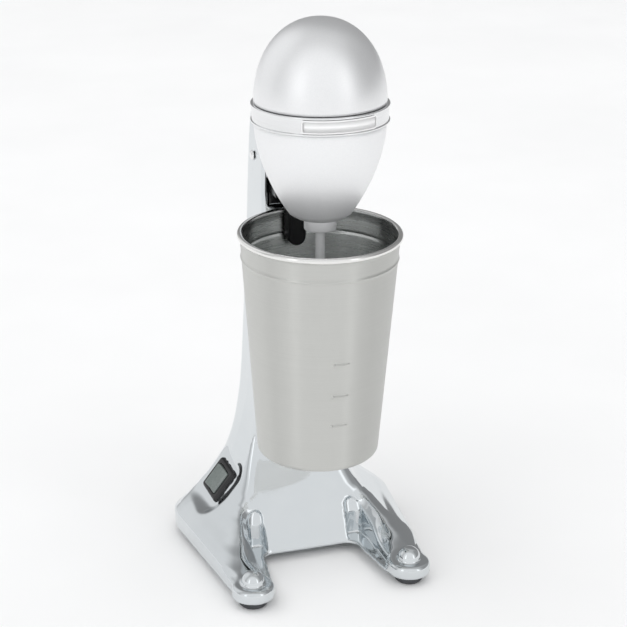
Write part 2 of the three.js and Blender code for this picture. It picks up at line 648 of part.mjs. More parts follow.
function cupHanger() {
  const halfWidth = FORK_HALF_GAP - 0.8;
  const body = block(-halfWidth, halfWidth, TONGUE_BACK - 2.4, 60, FORK_FLOOR + 1, HANGER_TOP);
  const notch = block(-20, 20, TONGUE_BACK, COLUMN_FRONT - 0.4, FORK_FLOOR - 5, NOTCH_TOP);
  const shoulders = [-1, 1].map((side) =>
    block(side * 14 - 6, side * 14 + 6, 30, TONGUE_BACK + 1, FORK_FLOOR - 5, NOTCH_TOP));
  const holes = HANGER_SCREW_X.flatMap((x) => [
    disc(1.9, 200, 226, 10).translate(x, HANGER_SCREW_Y, 0),
    disc(3.2, 200, 212.4, 12).translate(x, HANGER_SCREW_Y, 0)]);
  const solid = carve(body, { cut: [notch, ...shoulders] });
  return carve(solid, { join: [cupTongue()], cut: holes });
}

add('cup_hanger', cupHanger(), BLACK_PLASTIC, head);

HANGER_SCREW_X.forEach((x, i) => {
  const screw = turned([[0, 210], [2.8, 210], [2.8, 212], [1.5, 212], [1.5, 229], [0, 229]], 10);
  add(`hanger_screw_${i + 1}`, screw, IRON, head).position.set(x, HANGER_SCREW_Y, 0);
});

add('spindle_collar', turned([[3.1, COLLAR_BOTTOM], [COLLAR_RADIUS - 0.5, COLLAR_BOTTOM],
  [COLLAR_RADIUS, COLLAR_BOTTOM + 0.5], [COLLAR_RADIUS, NOSE_BOTTOM - GAP],
  [6.6, NOSE_BOTTOM - GAP], [6.6, 218], [5.6, 218], [5.6, 210.5], [3.1, 210.5]], 24),
SATIN_SILVER, head);
add('shaft_seal', ring(2.9, 5.2, 210.9, 213.4, 20), RUBBER, head);

// ---------------------------------------------------------------------------------------------
// Motor
// ---------------------------------------------------------------------------------------------

const BEARING_SEAT = BEARING_RADIUS + GAP;
const LOWER_BRACKET_Z = 240;
const UPPER_BRACKET_Z = 290;

add('lower_bearing_bracket', turned([[BORE + 1, 231], [BEARING_SEAT + 2.4, 231],
  [BEARING_SEAT + 2.4, LOWER_BRACKET_Z], [25.6, LOWER_BRACKET_Z], [25.6, LOWER_BRACKET_Z + 2.6],
  [BEARING_SEAT, LOWER_BRACKET_Z + 2.6], [BEARING_SEAT, 233], [BORE + 1, 233]], 24), IRON, head);
add('lower_bearing', ring(BORE, BEARING_RADIUS, 233.4, 239, 24), STEEL, head);
add('upper_bearing_bracket', turned([[BEARING_SEAT, UPPER_BRACKET_Z], [26, UPPER_BRACKET_Z],
  [26, UPPER_BRACKET_Z + 2.6], [BEARING_SEAT + 2.4, UPPER_BRACKET_Z + 2.6],
  [BEARING_SEAT + 2.4, 300], [BORE + 1, 300], [BORE + 1, 298.4], [BEARING_SEAT, 298.4]], 24),
IRON, head);
add('upper_bearing', ring(BORE, BEARING_RADIUS, 292.4, 298, 24), STEEL, head);
add('stator_core', ring(18.6, 22.6, 252, 274, 24), IRON, head);

[['left', 180], ['right', 0]].forEach(([name, middle]) => {
  const sector = [...arc(0, 0, 18.1, middle - 58, middle + 58, 8),
    ...arc(0, 0, 15.3, middle + 58, middle - 58, 8)];
  add(`field_coil_${name}`, plateUp(sector, 247, 279), COPPER, head);
});

[['left', -1], ['right', 1]].forEach(([name, side]) => {
  const brush = block(7.9, 13.4, -2.2, 2.2, 282.5, 286.5);
  const holder = block(13.8, 22, -4, 4, 280.8, 288.4);
  if (side < 0) [brush, holder].forEach((piece) => piece.rotateZ(Math.PI));
  add(`carbon_brush_${name}`, brush, CARBON, head);
  add(`brush_holder_${name}`, holder, BLACK_PLASTIC, head);
});

[['front', -1], ['rear', 1]].forEach(([name, side]) => {
  add(`motor_stud_${name}`, disc(1.6, LOWER_BRACKET_Z + 3, UPPER_BRACKET_Z - 0.4, 10), STEEL, head)
    .position.set(0, side * 24.6, 0);
});

// ---------------------------------------------------------------------------------------------
// Turning parts
// ---------------------------------------------------------------------------------------------

const rotor = new THREE.Group();
head.add(rotor);

add('motor_shaft', disc(SHAFT_RADIUS, 223.5, 309, 16), STEEL, rotor);
add('armature_core', ring(BORE, 14.3, 251, 275, 24), IRON, rotor);
add('commutator', ring(BORE, 7.4, 279, 289, 20), COPPER, rotor);

function coolingFan() {
  const blades = 8;
  const outline = Array.from({ length: blades }, (_, i) => {
    const turn = (360 / blades) * i;
    return [...arc(0, 0, 18.5, turn, turn + 16, 2), ...arc(0, 0, 8, turn + 26, turn + 40, 1)];
  }).flat();
  return carve(plateUp(outline, 303, 307.5), { cut: [disc(BORE, 300, 310, 16)] });
}

add('cooling_fan', coolingFan(), BLACK_PLASTIC, rotor);
add('spindle_coupling', ring(BORE, 5.6, 219, 229.5, 16), STEEL, rotor);
add('spindle', disc(SPINDLE_RADIUS, AGITATOR_Z - 2.4, 223, 16), STEEL, rotor);

// Thin wavy disc near the lower end of the spindle.
function agitator() {
  const waves = 6;
  const outline = Array.from({ length: waves * 6 }, (_, i) => {
    const angle = (2 * Math.PI * i) / (waves * 6);
    const radius = AGITATOR_RADIUS - 0.9 + 0.9 * Math.cos(waves * angle);
    return [radius * Math.cos(angle), radius * Math.sin(angle)];
  });
  return carve(plateUp(outline, AGITATOR_Z, AGITATOR_Z + 2), {
    cut: [disc(SPINDLE_RADIUS + GAP, AGITATOR_Z - 5, AGITATOR_Z + 5, 16)],
  });
}

add('agitator', agitator(), STEEL, rotor);
add('agitator_nut', disc(4, AGITATOR_Z - 3.9, AGITATOR_Z - 2.75, 6), STEEL, rotor);

// ---------------------------------------------------------------------------------------------
// Cup
// ---------------------------------------------------------------------------------------------

// Drawn steel cup with a rounded corner, a swaged line below the rim and a rolled rim.
function mixingCup() {
  const slope = (CUP_WALL_RADIUS - CUP_BOTTOM_RADIUS) / (CUP_HEIGHT - CUP_CORNER);
  const wallRadius = (z) => CUP_BOTTOM_RADIUS + slope * (z - CUP_CORNER);
  const bead = CUP_HEIGHT - CUP_BEAD_DROP;
  const corner = arc(CUP_BOTTOM_RADIUS - CUP_CORNER, CUP_CORNER, CUP_CORNER, -90, 0, 3);
  const roll = arc(RIM_RADIUS - RIM_ROLL, CUP_HEIGHT, RIM_ROLL, -30, 170, 6);
  const outside = [[0, 0], ...corner, [wallRadius(bead - 1.4), bead - 1.4],
    [wallRadius(bead) + 0.5, bead], [wallRadius(bead + 1.6), bead + 1.6],
    [wallRadius(CUP_HEIGHT - 2), CUP_HEIGHT - 2]];
  const inside = [[wallRadius(CUP_HEIGHT - 4) - CUP_WALL, CUP_HEIGHT - 4],
    [wallRadius(CUP_CORNER) - CUP_WALL, CUP_CORNER + 0.6],
    [CUP_BOTTOM_RADIUS - CUP_CORNER, 1], [0, 1]];
  return turned([...outside, ...roll, ...inside], 40);
}

const cup = add('mixing_cup', mixingCup(), STEEL, head);
cup.position.set(0, CUP_BOTTOM_Y, CUP_BOTTOM_Z);
cup.rotation.x = CUP_LEAN;

export default mixer;
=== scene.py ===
"""Looks for the milkshake mixer.

Shapes are worked out in millimetres in the spindle frame (the spindle axis is X = Y = 0, -Y is the
front, the floor is Z = 0) and placed in the row frame, in metres, by to_row().
"""

import math

import bpy
import numpy as np
from mathutils import Matrix, Vector


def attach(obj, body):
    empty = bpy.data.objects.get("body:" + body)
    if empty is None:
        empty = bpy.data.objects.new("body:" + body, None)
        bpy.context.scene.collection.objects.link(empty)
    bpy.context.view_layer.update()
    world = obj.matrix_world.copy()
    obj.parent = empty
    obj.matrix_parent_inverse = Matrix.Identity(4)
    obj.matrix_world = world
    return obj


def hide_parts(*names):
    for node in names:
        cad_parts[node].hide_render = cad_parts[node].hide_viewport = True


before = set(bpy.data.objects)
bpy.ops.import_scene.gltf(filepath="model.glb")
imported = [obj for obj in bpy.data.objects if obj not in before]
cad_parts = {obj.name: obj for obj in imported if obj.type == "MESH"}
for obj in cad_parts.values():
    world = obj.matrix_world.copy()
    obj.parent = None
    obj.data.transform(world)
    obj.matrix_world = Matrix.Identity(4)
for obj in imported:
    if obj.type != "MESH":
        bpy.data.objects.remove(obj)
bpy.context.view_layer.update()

MM = 0.001
FOOTPRINT_CENTRE_Y = 28.25   # middle of the object along Y, from the spindle axis


def to_row(points):
    """Spindle-frame millimetres to row-frame metres."""
    return (np.asarray(points, float) - (0, FOOTPRINT_CENTRE_Y, 0)) * MM


# ------------------------------------------------------------------------------------------------
# Mesh helpers
# ------------------------------------------------------------------------------------------------

def make_piece(name, points, faces, body, materials, replaces=(), smooth=True,
               face_materials=None):
    """A mesh piece from spindle-frame points, riding on a CAD body."""
    mesh = bpy.data.meshes.new(name)
    mesh.from_pydata(to_row(points).tolist(), [], [tuple(int(i) for i in f) for f in faces])
    mesh.validate()
    for material in materials:
        mesh.materials.append(material)
    mesh.polygons.foreach_set("use_smooth", [smooth] * len(mesh.polygons))
    if face_materials is not None:
        mesh.polygons.foreach_set("material_index", list(face_materials))
    piece = bpy.data.objects.new(name, mesh)
    bpy.context.scene.collection.objects.link(piece)
    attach(piece, body)
    if replaces:
        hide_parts(*replaces)
    return piece


def along(knots, height):
    """Smooth values between [height, value] knots, without overshoot."""
    h, v = np.array(knots, float).T
    slope = np.diff(v) / np.diff(h)
    before, after = slope[:-1], slope[1:]
    same = before * after > 0
    middle = np.where(same, 2 * before * after / np.where(same, before + after, 1), 0)
    tangent = np.concatenate([[0], middle, [0]])
    z = np.clip(height, h[0], h[-1])
    i = np.clip(np.searchsorted(h, z, side="right") - 1, 0, len(h) - 2)
    span = h[i + 1] - h[i]
    t = (z - h[i]) / span
    rise = v[i + 1] - v[i]
    m0, m1 = tangent[i] * span, tangent[i + 1] * span
    return v[i] + t * m0 + t ** 2 * (3 * rise - 2 * m0 - m1) + t ** 3 * (m0 + m1 - 2 * rise)


def round_max(a, b, radius):
    """Intersection of two fields, with its edge rounded to a radius."""
    u, w = np.maximum(a + radius, 0), np.maximum(b + radius, 0)
    return np.minimum(-radius, np.maximum(a, b)) + np.hypot(u, w)


def round_min(a, b, radius):
    """Union of two fields, with its inner corner filleted to a radius."""
    return -round_max(-a, -b, radius)


def slab(value, low, high):
    """Field of the space between two parallel planes."""
    return np.abs(value - (low + high) / 2) - (high - low) / 2


def rounded_box(x, y, z, low, high, radius):
    walls = round_max(slab(x, low[0], high[0]), slab(y, low[1], high[1]), radius)
    return round_max(walls, slab(z, low[2], high[2]), radius)


def sharp_box(x, y, z, half):
    """Field of a sharp box about the origin, from its half sizes."""
    return np.maximum(np.maximum(np.abs(x) - half[0], np.abs(y) - half[1]), np.abs(z) - half[2])


# ------------------------------------------------------------------------------------------------
# Stand casting, as a field that is negative inside
# ------------------------------------------------------------------------------------------------

CASTING_BOTTOM = 5.0
COLUMN_TOP = 262.3
WIDEST_STATION = 70
FLARE = [[5, 66], [14, 66], [18, 62.4], [24, 54.5], [34, 42.4], [50, 32.8], [70, 26],
         [95, 21.3], [125, 19.4], [165, 17.7], [200, 17], [262.5, 17]]
SIDE_TAPER = [[5, 0.107], [14, 0.107], [24, 0.15], [34, 0.15], [50, 0.12], [70, 0.1],
              [110, 0.03], [150, 0], [262.5, 0]]
FRONT = [[5, -20], [12, -20], [14.5, -12], [16.5, -5], [18.8, 1.5], [21.2, 7.7], [24.2, 12.8],
         [27, 19], [29.8, 26], [32.6, 31], [36, 32.8], [39, 34.3], [50, 40], [57, 42.8], [65, 45],
         [90, 47], [262.5, 47]]
REAR = [[5, 98], [14, 98.6], [20, 99], [34, 97], [60, 94.6], [120, 94.4], [190, 90.4],
        [235, 84.5], [256, 79.5], [262.5, 73]]
REAR_CORNER = [[5, 25], [14, 25], [34, 18], [60, 16], [100, 10], [262.5, 8]]
FRONT_CORNER = [[5, 9], [20, 5], [30, 5], [38, 9], [50, 8], [65, 6], [90, 5], [262.5, 5]]
SKIRT_FRONT = [[5, 20.3], [12, 22.6], [17, 24.8], [23, 28], [30, 31.9], [39, 37], [50, 42.9],
               [57, 45.7], [65, 48], [90, 50], [262.5, 50]]
CREST_RADIUS = [[5, 2], [36, 2], [60, 3.5], [262.5, 3.5]]
LEG_FOOT_X = [[-45, 36.5], [-24, 33.6], [0, 30.3], [13, 28.6]]
LEG_LEDGE_Z = [[-13, 11.2], [1, 9.8], [14, 7]]
LEG_INNER_X = [[-13, 36.4], [15, 36.5], [25, 35.4], [38, 32]]
LEG_INNER_Z = [[-13, 11.9], [-4, 12.2], [8, 15.8], [21, 19.7], [30, 26.2], [37, 33.5]]
LEG_SLOPE = [[-13, 1.6], [2, 1.55], [8, 1.3], [15, 0.8], [22, 0.6], [30, 0.85], [38, 1.2]]
LEDGE_SOFTNESS = 1.2
LOWER_BAY_TOP, LOWER_BAY_LEAN = 24, 0.2
POCKET_SIDE, POCKET_BACK, POCKET_FLOOR, POCKET_TOP = 24.8, 29.5, 7, 29.5
POCKET_DEPTH = 2.5                # least depth behind the skirt
TOE_X, TOE_Y, TOE_RADIUS, TOE_TOP, TOE_EDGE = 46.2, -22.1, 11.9, 12.6, 2.6
BALL_RADIUS, BALL_Z = 6.4, 14
REAR_FOOT_X, REAR_FOOT_Y = 49, 82
REST_Y, REST_GAP = 54, 0.35
REST_WIDTH = [[55, 11], [61, 13.5], [67, 15.5], [79, 16]]
REST_REACH = [[55, 6], [61, 17], [67, 26.5], [79, 28]]
HOLLOW_FRONT, HOLLOW_TOP, WALL = 43.5, 54, 7
BOSSES = [(34, 50, 35), (22, 80, 54)]           # X on both sides, Y and top
BOSS_RADIUS, BOSS_BOTTOM = 4, 8.2
COVER_SEAT_WALL, COVER_SEAT_TOP = 6.5, 9
CHANNEL_Y, CHANNEL_Z, CHANNEL_HALF = 69, 120, (13, 15, 90)
FORK_HALF_GAP, FORK_FLOOR, FORK_BACK, FORK_OPENING = 14, 207, 79, 247
PIVOT_Y, PIVOT_Z = 68, 232
PIN_HOLE, PIN_HOLE_REACH = 2.4, 30
LEAD_HOLE, LEAD_HOLE_FRONT = 4.6, 85
STEM_HOLE, STEM_HOLE_TOP = 2.9, 12
SWITCH_CENTRE, SWITCH_SLOPE, SWITCH_PITCH, SWITCH_TURN = (-40.6, 67, 35), 56, 12, -6
SWITCH_TURNS = (Matrix.Rotation(-math.radians(SWITCH_SLOPE), 3, "Y")
                @ Matrix.Rotation(math.radians(SWITCH_PITCH), 3, "X")
                @ Matrix.Rotation(math.radians(SWITCH_TURN), 3, "Z"))
SEAT_HALF, SEAT_BLEND, SEAT_DEPTHS = (12, 11.2), 9, (-16, -9)
RECESS_HALF, WINDOW_HALF = (10.2, 9.4, 1.6), (9.1, 7.3, 12)
CORD_HEIGHT, HEEL_Y = 17, 90.3
CUP_BOTTOM_Y, CUP_BOTTOM_Z, CUP_HEIGHT = 3.8, 78.1, 126.6
CUP_LEAN = math.atan(CUP_BOTTOM_Y / CUP_HEIGHT)


def gradient_length(knots, z):
    """Length factor of a wall that moves sideways with height."""
    reach = 0.4
    rate = along(knots, z + reach) - along(knots, z - reach)
    return np.sqrt(1 + (rate / (2 * reach)) ** 2)


def flare_field(x, y, z):
    taper = along(SIDE_TAPER, z)
    side = (np.abs(x) - along(FLARE, z) - taper * np.minimum(y - WIDEST_STATION, 0))
    side = side / gradient_length(FLARE, z)
    front = (along(FRONT, z) - y) / gradient_length(FRONT, z)
    rear = (y - along(REAR, z)) / gradient_length(REAR, z)
    walls = round_max(side, front, along(FRONT_CORNER, z))
    walls = round_max(walls, rear, along(REAR_CORNER, z))
    return round_max(walls, z - COLUMN_TOP, 3.0)


def bay_field(x, y, z):
    """The open bay between the legs: under the ledges, above them up to the crests and the top
    of the column, and a groove in each inner corner."""
    web = along(SKIRT_FRONT, z)
    skirt = (y - web) / gradient_length(SKIRT_FRONT, z)
    foot = np.abs(x) - along(LEG_FOOT_X, y) - LOWER_BAY_LEAN * np.maximum(z - CASTING_BOTTOM, 0)
    lower = np.maximum(round_max(foot, skirt, 7), z - LOWER_BAY_TOP)
    slope = along(LEG_SLOPE, y)
    rise = z - along(LEG_INNER_Z, y)
    soft = np.hypot(rise, LEDGE_SOFTNESS)
    inner = np.abs(x) - along(LEG_INNER_X, y) - slope * (rise + soft) / 2
    inner = inner / np.sqrt(1 + (slope * (1 + rise / soft) / 2) ** 2)
    upper = round_max(round_max(inner, skirt, 1.5), along(LEG_LEDGE_Z, y) - z, 1.2)
    sides = round_max(round_max(POCKET_SIDE - np.abs(x), inner, 3.5), z - POCKET_TOP, 4.5)
    back = y - np.maximum(POCKET_BACK, web + POCKET_DEPTH)
    pocket = round_max(round_max(sides, back, 3), POCKET_FLOOR - z, 1)
    return np.minimum(round_min(lower, upper, 0.8), pocket)


def rest_field(x, y, z):
    """Rest for the back of the cup's bottom."""
    half = along(REST_WIDTH, z)
    wall = (np.hypot(x / half, (y - REST_Y) / along(REST_REACH, z)) - 1) * half
    seat = z - (CUP_BOTTOM_Z - REST_GAP + (y - CUP_BOTTOM_Y) * math.tan(CUP_LEAN))
    return round_max(round_max(wall, seat, 1.2), REST_WIDTH[0][0] - z, 1)


def toe_field(x, y, z):
    """Round pad over a front foot, with a ball on it."""
    across = np.hypot(np.abs(x) - TOE_X, y - TOE_Y)
    pad = round_max(across - TOE_RADIUS, z - TOE_TOP, TOE_EDGE)
    return round_min(pad, np.hypot(across, z - BALL_Z) - BALL_RADIUS, 0.8)


def hollow_field(x, y, z):
    """Inside of the foot of the stand with its four bosses, the seat of the bottom cover, and
    the wire channel up the column."""
    room = np.maximum(flare_field(x, y, z) + WALL, np.maximum(HOLLOW_FRONT - y, z - HOLLOW_TOP))
    for boss_x, boss_y, top in BOSSES:
        across = np.hypot(np.abs(x) - boss_x, y - boss_y)
        boss = np.maximum(across - BOSS_RADIUS, BOSS_BOTTOM - z)
        room = np.maximum(room, -np.maximum(boss, z - top))
    cover_seat = np.maximum(flare_field(x, y, CASTING_BOTTOM) + COVER_SEAT_WALL,
                            np.maximum(HOLLOW_FRONT - y, z - COVER_SEAT_TOP))
    channel = sharp_box(x, y - CHANNEL_Y, z - CHANNEL_Z, CHANNEL_HALF)
    return np.minimum(np.minimum(room, cover_seat), channel)


def hole_field(x, y, z):
    """Holes for the tilt pin, the lead and the front feet."""
    pin = np.hypot(y - PIVOT_Y, z - PIVOT_Z) - PIN_HOLE
    pin = np.maximum(pin, np.abs(x) - PIN_HOLE_REACH)
    lead = np.maximum(np.hypot(x, z - CORD_HEIGHT) - LEAD_HOLE, LEAD_HOLE_FRONT - y)
    foot = np.hypot(np.abs(x) - TOE_X, y - TOE_Y) - STEM_HOLE
    foot = np.maximum(foot, z - STEM_HOLE_TOP)
    return np.minimum(np.minimum(pin, lead), foot)


def switch_axes(x, y, z):
    """Coordinates along the power switch's slope, along its width, and out of the flank."""
    offset = [x - SWITCH_CENTRE[0], y - SWITCH_CENTRE[1], z - SWITCH_CENTRE[2]]
    return [sum(offset[i] * SWITCH_TURNS[i][j] for i in range(3)) for j in range(3)]


def smoothstep(value, low, high):
    t = np.clip((value - low) / (high - low), 0, 1)
    return t * t * (3 - 2 * t)


def with_switch_seat(body, x, y, z):
    """A casting with its left flank eased to a flat for the switch's frame, the shallow recess
    that the frame sits in, and the window behind it."""
    u, v, w = switch_axes(x, y, z)
    outside = round_max(np.abs(u) - SEAT_HALF[0], np.abs(v) - SEAT_HALF[1], 3)
    share = (1 - smoothstep(outside, 0, SEAT_BLEND)) * smoothstep(w, *SEAT_DEPTHS)
    body = body + share * (w - body)
    recess, window = sharp_box(u, v, w, RECESS_HALF), sharp_box(u, v, w, WINDOW_HALF)
    return np.maximum(body, -np.minimum(recess, window))


def fork_field(x, y, z):
    """Slot for the head's arm, open at the back above the knuckle."""
    side = np.abs(x) - FORK_HALF_GAP
    slot = np.minimum(round_max(side, y - FORK_BACK, 4), round_max(side, FORK_OPENING - z, 3))
    return round_max(slot, FORK_FLOOR - z, 1.5)


def casting_field(x, y, z):
    body = round_max(flare_field(x, y, z), -bay_field(x, y, z), along(CREST_RADIUS, z))
    body = round_min(body, toe_field(x, y, z), 2.5)
    body = round_min(body, rest_field(x, y, z), 2.5)
    body = round_max(body, CASTING_BOTTOM - z, 1.0)
    body = round_max(body, -fork_field(x, y, z), 1.3)
    body = with_switch_seat(body, x, y, z)
    return np.maximum(body, -np.minimum(hollow_field(x, y, z), hole_field(x, y, z)))


def surface_nets(field, low, high, step):
    """Closed quad mesh of the zero level of a field, over a box."""
    axes = [np.arange(a, b + step, step) for a, b in zip(low, high)]
    x, y, z = axes[0][:, None, None], axes[1][None, :, None], axes[2][None, None, :]
    values = field(x, y, z)
    cells = np.array(values.shape) - 1
    total = int(cells.prod())
    counts = np.zeros(total)
    sums = np.zeros((3, total))
    quads = []
    for axis in range(3):
        first = np.take(values, range(cells[axis]), axis)
        second = np.take(values, range(1, cells[axis] + 1), axis)
        crossing = np.argwhere((first < 0) != (second < 0))
        a, b = first[tuple(crossing.T)], second[tuple(crossing.T)]
        spot = crossing.astype(float)
        spot[:, axis] += a / (a - b)
        u, v = [k for k in range(3) if k != axis]
        around = []
        for du, dv in ((-1, -1), (0, -1), (0, 0), (-1, 0)):
            cell = crossing.copy()
            cell[:, u] += du
            cell[:, v] += dv
            flat = np.ravel_multi_index(cell.T, tuple(cells))
            around.append(flat)
            counts += np.bincount(flat, minlength=total)
            for k in range(3):
                sums[k] += np.bincount(flat, spot[:, k], total)
        quad = np.stack(around, 1)
        flip = (a < 0) != (axis == 1)
        quad[~flip] = quad[~flip][:, ::-1]
        quads.append(quad)
    used = np.flatnonzero(counts)
    number = np.zeros(total, int)
    number[used] = np.arange(len(used))
    points = (sums[:, used] / counts[used]).T * step + np.array([a[0] for a in axes])
    return points, number[np.concatenate(quads)]


def settle(field, points, faces, step, rounds):
    """Evens out the points along the surface and puts them back on it."""
    probe, least_slope, longest_move = 0.05, 0.3, 0.6 * step
    for smoothing in rounds:
        if smoothing:
            total = np.zeros_like(points)
            count = np.zeros(len(points))
            for i in range(4):
                for j in ((i + 1) % 4, (i + 3) % 4):
                    np.add.at(total, faces[:, i], points[faces[:, j]])
                    np.add.at(count, faces[:, i], 1)
            points = points + smoothing * (total / count[:, None] - points)
        for _ in range(2):
            value = field(*points.T)
            slope = np.stack([
                (field(*(points + shift).T) - field(*(points - shift).T)) / (2 * probe)
                for shift in probe * np.eye(3)], 1)
            length = np.maximum((slope ** 2).sum(1), least_slope ** 2)
            move = -slope * (value / length)[:, None]
            size = np.linalg.norm(move, axis=1, keepdims=True)
            points = points + move * np.minimum(1, longest_move / np.maximum(size, 1e-9))
    return points


# ------------------------------------------------------------------------------------------------
# Materials
# ------------------------------------------------------------------------------------------------

def principled(name, colour, metallic, roughness, **uniform):
    material = bpy.data.materials.new(name)
    material.use_nodes = True
    shader = material.node_tree.nodes["Principled BSDF"]
    shader.inputs["Base Color"].default_value = (*colour, 1)
    shader.inputs["Metallic"].default_value = metallic
    shader.inputs["Roughness"].default_value = roughness
    for socket, value in uniform.items():
        shader.inputs[socket.replace("_", " ").title()].default_value = value
    return material


def noise(material, scale, stretch=(1, 1, 1), detail=3, roughness=0.55):
    """Noise over the piece's own coordinates, in metres, stretched along the row's axes."""
    nodes, links = material.node_tree.nodes, material.node_tree.links
    place = nodes.new("ShaderNodeTexCoord")
    mapping = nodes.new("ShaderNodeMapping")
    mapping.inputs["Scale"].default_value = stretch
    texture = nodes.new("ShaderNodeTexNoise")
    texture.inputs["Scale"].default_value = scale
    texture.inputs["Detail"].default_value = detail
    texture.inputs["Roughness"].default_value = roughness
    links.new(place.outputs["Object"], mapping.inputs["Vector"])
    links.new(mapping.outputs["Vector"], texture.inputs["Vector"])
    return texture.outputs["Fac"]


def vary_colour(material, factor, dark, light, low=0.3, high=0.7):
    nodes, links = material.node_tree.nodes, material.node_tree.links
    ramp = nodes.new("ShaderNodeValToRGB")
    ramp.color_ramp.elements[0].position = low
    ramp.color_ramp.elements[1].position = high
    ramp.color_ramp.elements[0].color = (*dark, 1)
    ramp.color_ramp.elements[1].color = (*light, 1)
    links.new(factor, ramp.inputs["Fac"])
    links.new(ramp.outputs["Color"], nodes["Principled BSDF"].inputs["Base Color"])


def vary_roughness(material, factor, smooth, rough, low=0.3, high=0.7):
    nodes, links = material.node_tree.nodes, material.node_tree.links
    span = nodes.new("ShaderNodeMapRange")
    for socket, value in (("From Min", low), ("From Max", high), ("To Min", smooth),
                          ("To Max", rough)):
        span.inputs[socket].default_value = value
    links.new(factor, span.inputs["Value"])
    links.new(span.outputs["Result"], nodes["Principled BSDF"].inputs["Roughness"])


def relief(material, factor, depth):
    """Fine surface relief of a depth in metres."""
    nodes, links = material.node_tree.nodes, material.node_tree.links
    bump = nodes.new("ShaderNodeBump")
    bump.inputs["Strength"].default_value = 1
    bump.inputs["Distance"].default_value = depth
    links.new(factor, bump.inputs["Height"])
    links.new(bump.outputs["Normal"], nodes["Principled BSDF"].inputs["Normal"])


def chrome_plate():
    material = principled("chrome_plate", (0.69, 0.72, 0.735), 1, 0.05)
    vary_roughness(material, noise(material, 60, detail=4), 0.035, 0.085)
    vary_colour(material, noise(material, 25), (0.67, 0.7, 0.718), (0.71, 0.738, 0.752))
    relief(material, noise(material, 40, detail=1), 0.00003)
    return material


def satin_lacquer(name, metallic, roughness):
    material = principled(name, (0.89, 0.893, 0.9), metallic, roughness)
    vary_colour(material, noise(material, 1800, detail=2), (0.87, 0.874, 0.882),
                (0.91, 0.914, 0.92))
    vary_roughness(material, noise(material, 900, detail=3), roughness - 0.04, roughness + 0.04)
    relief(material, noise(material, 2600, detail=2), 0.000004)
    return material


def brushed(name, dark, light, smooth, rough, anisotropy, lines=3000):
    """Metal brushed round the Z axis. Its fine lines run round, so they vary along Z, and they
    spread what it reflects up and down."""
    material = principled(name, light, 1, rough, Anisotropic=anisotropy, Anisotropic_Rotation=0.25)
    round_lines = noise(material, 1, (12, 12, lines), detail=4)
    vary_colour(material, round_lines, dark, light)
    vary_roughness(material, noise(material, 1, (60, 60, lines / 2), detail=3), smooth, rough)
    if anisotropy:
        tangent = material.node_tree.nodes.new("ShaderNodeTangent")
        tangent.direction_type = "RADIAL"
        tangent.axis = "Z"
        material.node_tree.links.new(tangent.outputs["Tangent"],
                                     material.node_tree.nodes["Principled BSDF"].inputs["Tangent"])
    return material


def moulded(name, dark, light, smooth, rough, grain, depth, **uniform):
    """Plastic, rubber or raw metal with a fine grain."""
    material = principled(name, light, 0, rough, **uniform)
    speckle = noise(material, grain, detail=4)
    vary_colour(material, noise(material, grain / 7), dark, light)
    vary_roughness(material, speckle, smooth, rough)
    relief(material, speckle, depth)
    return material


CHROME = chrome_plate()
SATIN = satin_lacquer("satin_lacquer", 0.84, 0.37)
SATIN_PALE = satin_lacquer("satin_lacquer_pale", 0.6, 0.46)
BAND = brushed("polished_band", (0.8, 0.805, 0.81), (0.88, 0.885, 0.89), 0.14, 0.22, 0.35)
CUP_OUTSIDE = brushed("cup_outside", (0.64, 0.642, 0.618), (0.66, 0.662, 0.638), 0.38, 0.42, 0.95)
# Same steel as the outside, given a lighter and cooler colour as painted light: painted brightness
# inside the cup and a painted cool reflection tint.
CUP_INSIDE_LIT = brushed("cup_inside_lit", (0.77, 0.785, 0.775), (0.8, 0.815, 0.805), 0.26, 0.3, 0.88)
# Polished steel of the rolled rim. Its lighter colour is also put on the cup's underside as
# painted light, a brighter copy of the outside steel that stands in for light from the floor
# beneath the cup.
RIM_POLISH_AND_LIT_BASE = brushed("rim_polish_and_lit_base", (0.8, 0.795, 0.78), (0.88, 0.875, 0.86), 0.08, 0.12, 0)
STEEL = brushed("turned_steel", (0.84, 0.84, 0.835), (0.9, 0.9, 0.895), 0.2, 0.3, 0.3)
PIN_STEEL = brushed("pin_steel", (0.84, 0.84, 0.84), (0.9, 0.9, 0.9), 0.2, 0.3, 0)
GLOSS_BLACK = moulded("gloss_black", (0.006, 0.006, 0.007), (0.012, 0.012, 0.013), 0.12, 0.22,
                      900, 0.000004)
SATIN_BLACK = moulded("satin_black", (0.012, 0.012, 0.013), (0.022, 0.022, 0.023), 0.32, 0.42,
                      1600, 0.000008)
ROCKER_GREY = moulded("rocker_grey", (0.15, 0.172, 0.164), (0.19, 0.215, 0.205), 0.24, 0.34,
                      1600, 0.000006)
RUBBER = moulded("foot_rubber", (0.045, 0.048, 0.052), (0.07, 0.074, 0.08), 0.6, 0.78,
                 1400, 0.00002)
PLATE_WHITE = moulded("plate_white", (0.9, 0.9, 0.9), (0.93, 0.93, 0.93), 0.32, 0.4,
                      1500, 0.000003)
NYLON = moulded("white_nylon", (0.7, 0.69, 0.66), (0.78, 0.77, 0.74), 0.4, 0.52, 1200, 0.000008)
IRON = moulded("plain_iron", (0.16, 0.16, 0.165), (0.26, 0.26, 0.265), 0.4, 0.6, 900, 0.00001,
               Metallic=0.85)
COPPER = moulded("wound_copper", (0.42, 0.17, 0.07), (0.6, 0.27, 0.12), 0.25, 0.45, 700, 0.00002,
                 Metallic=1)
CARBON = moulded("brush_carbon", (0.02, 0.02, 0.02), (0.04, 0.04, 0.04), 0.6, 0.8, 1500, 0.00002)

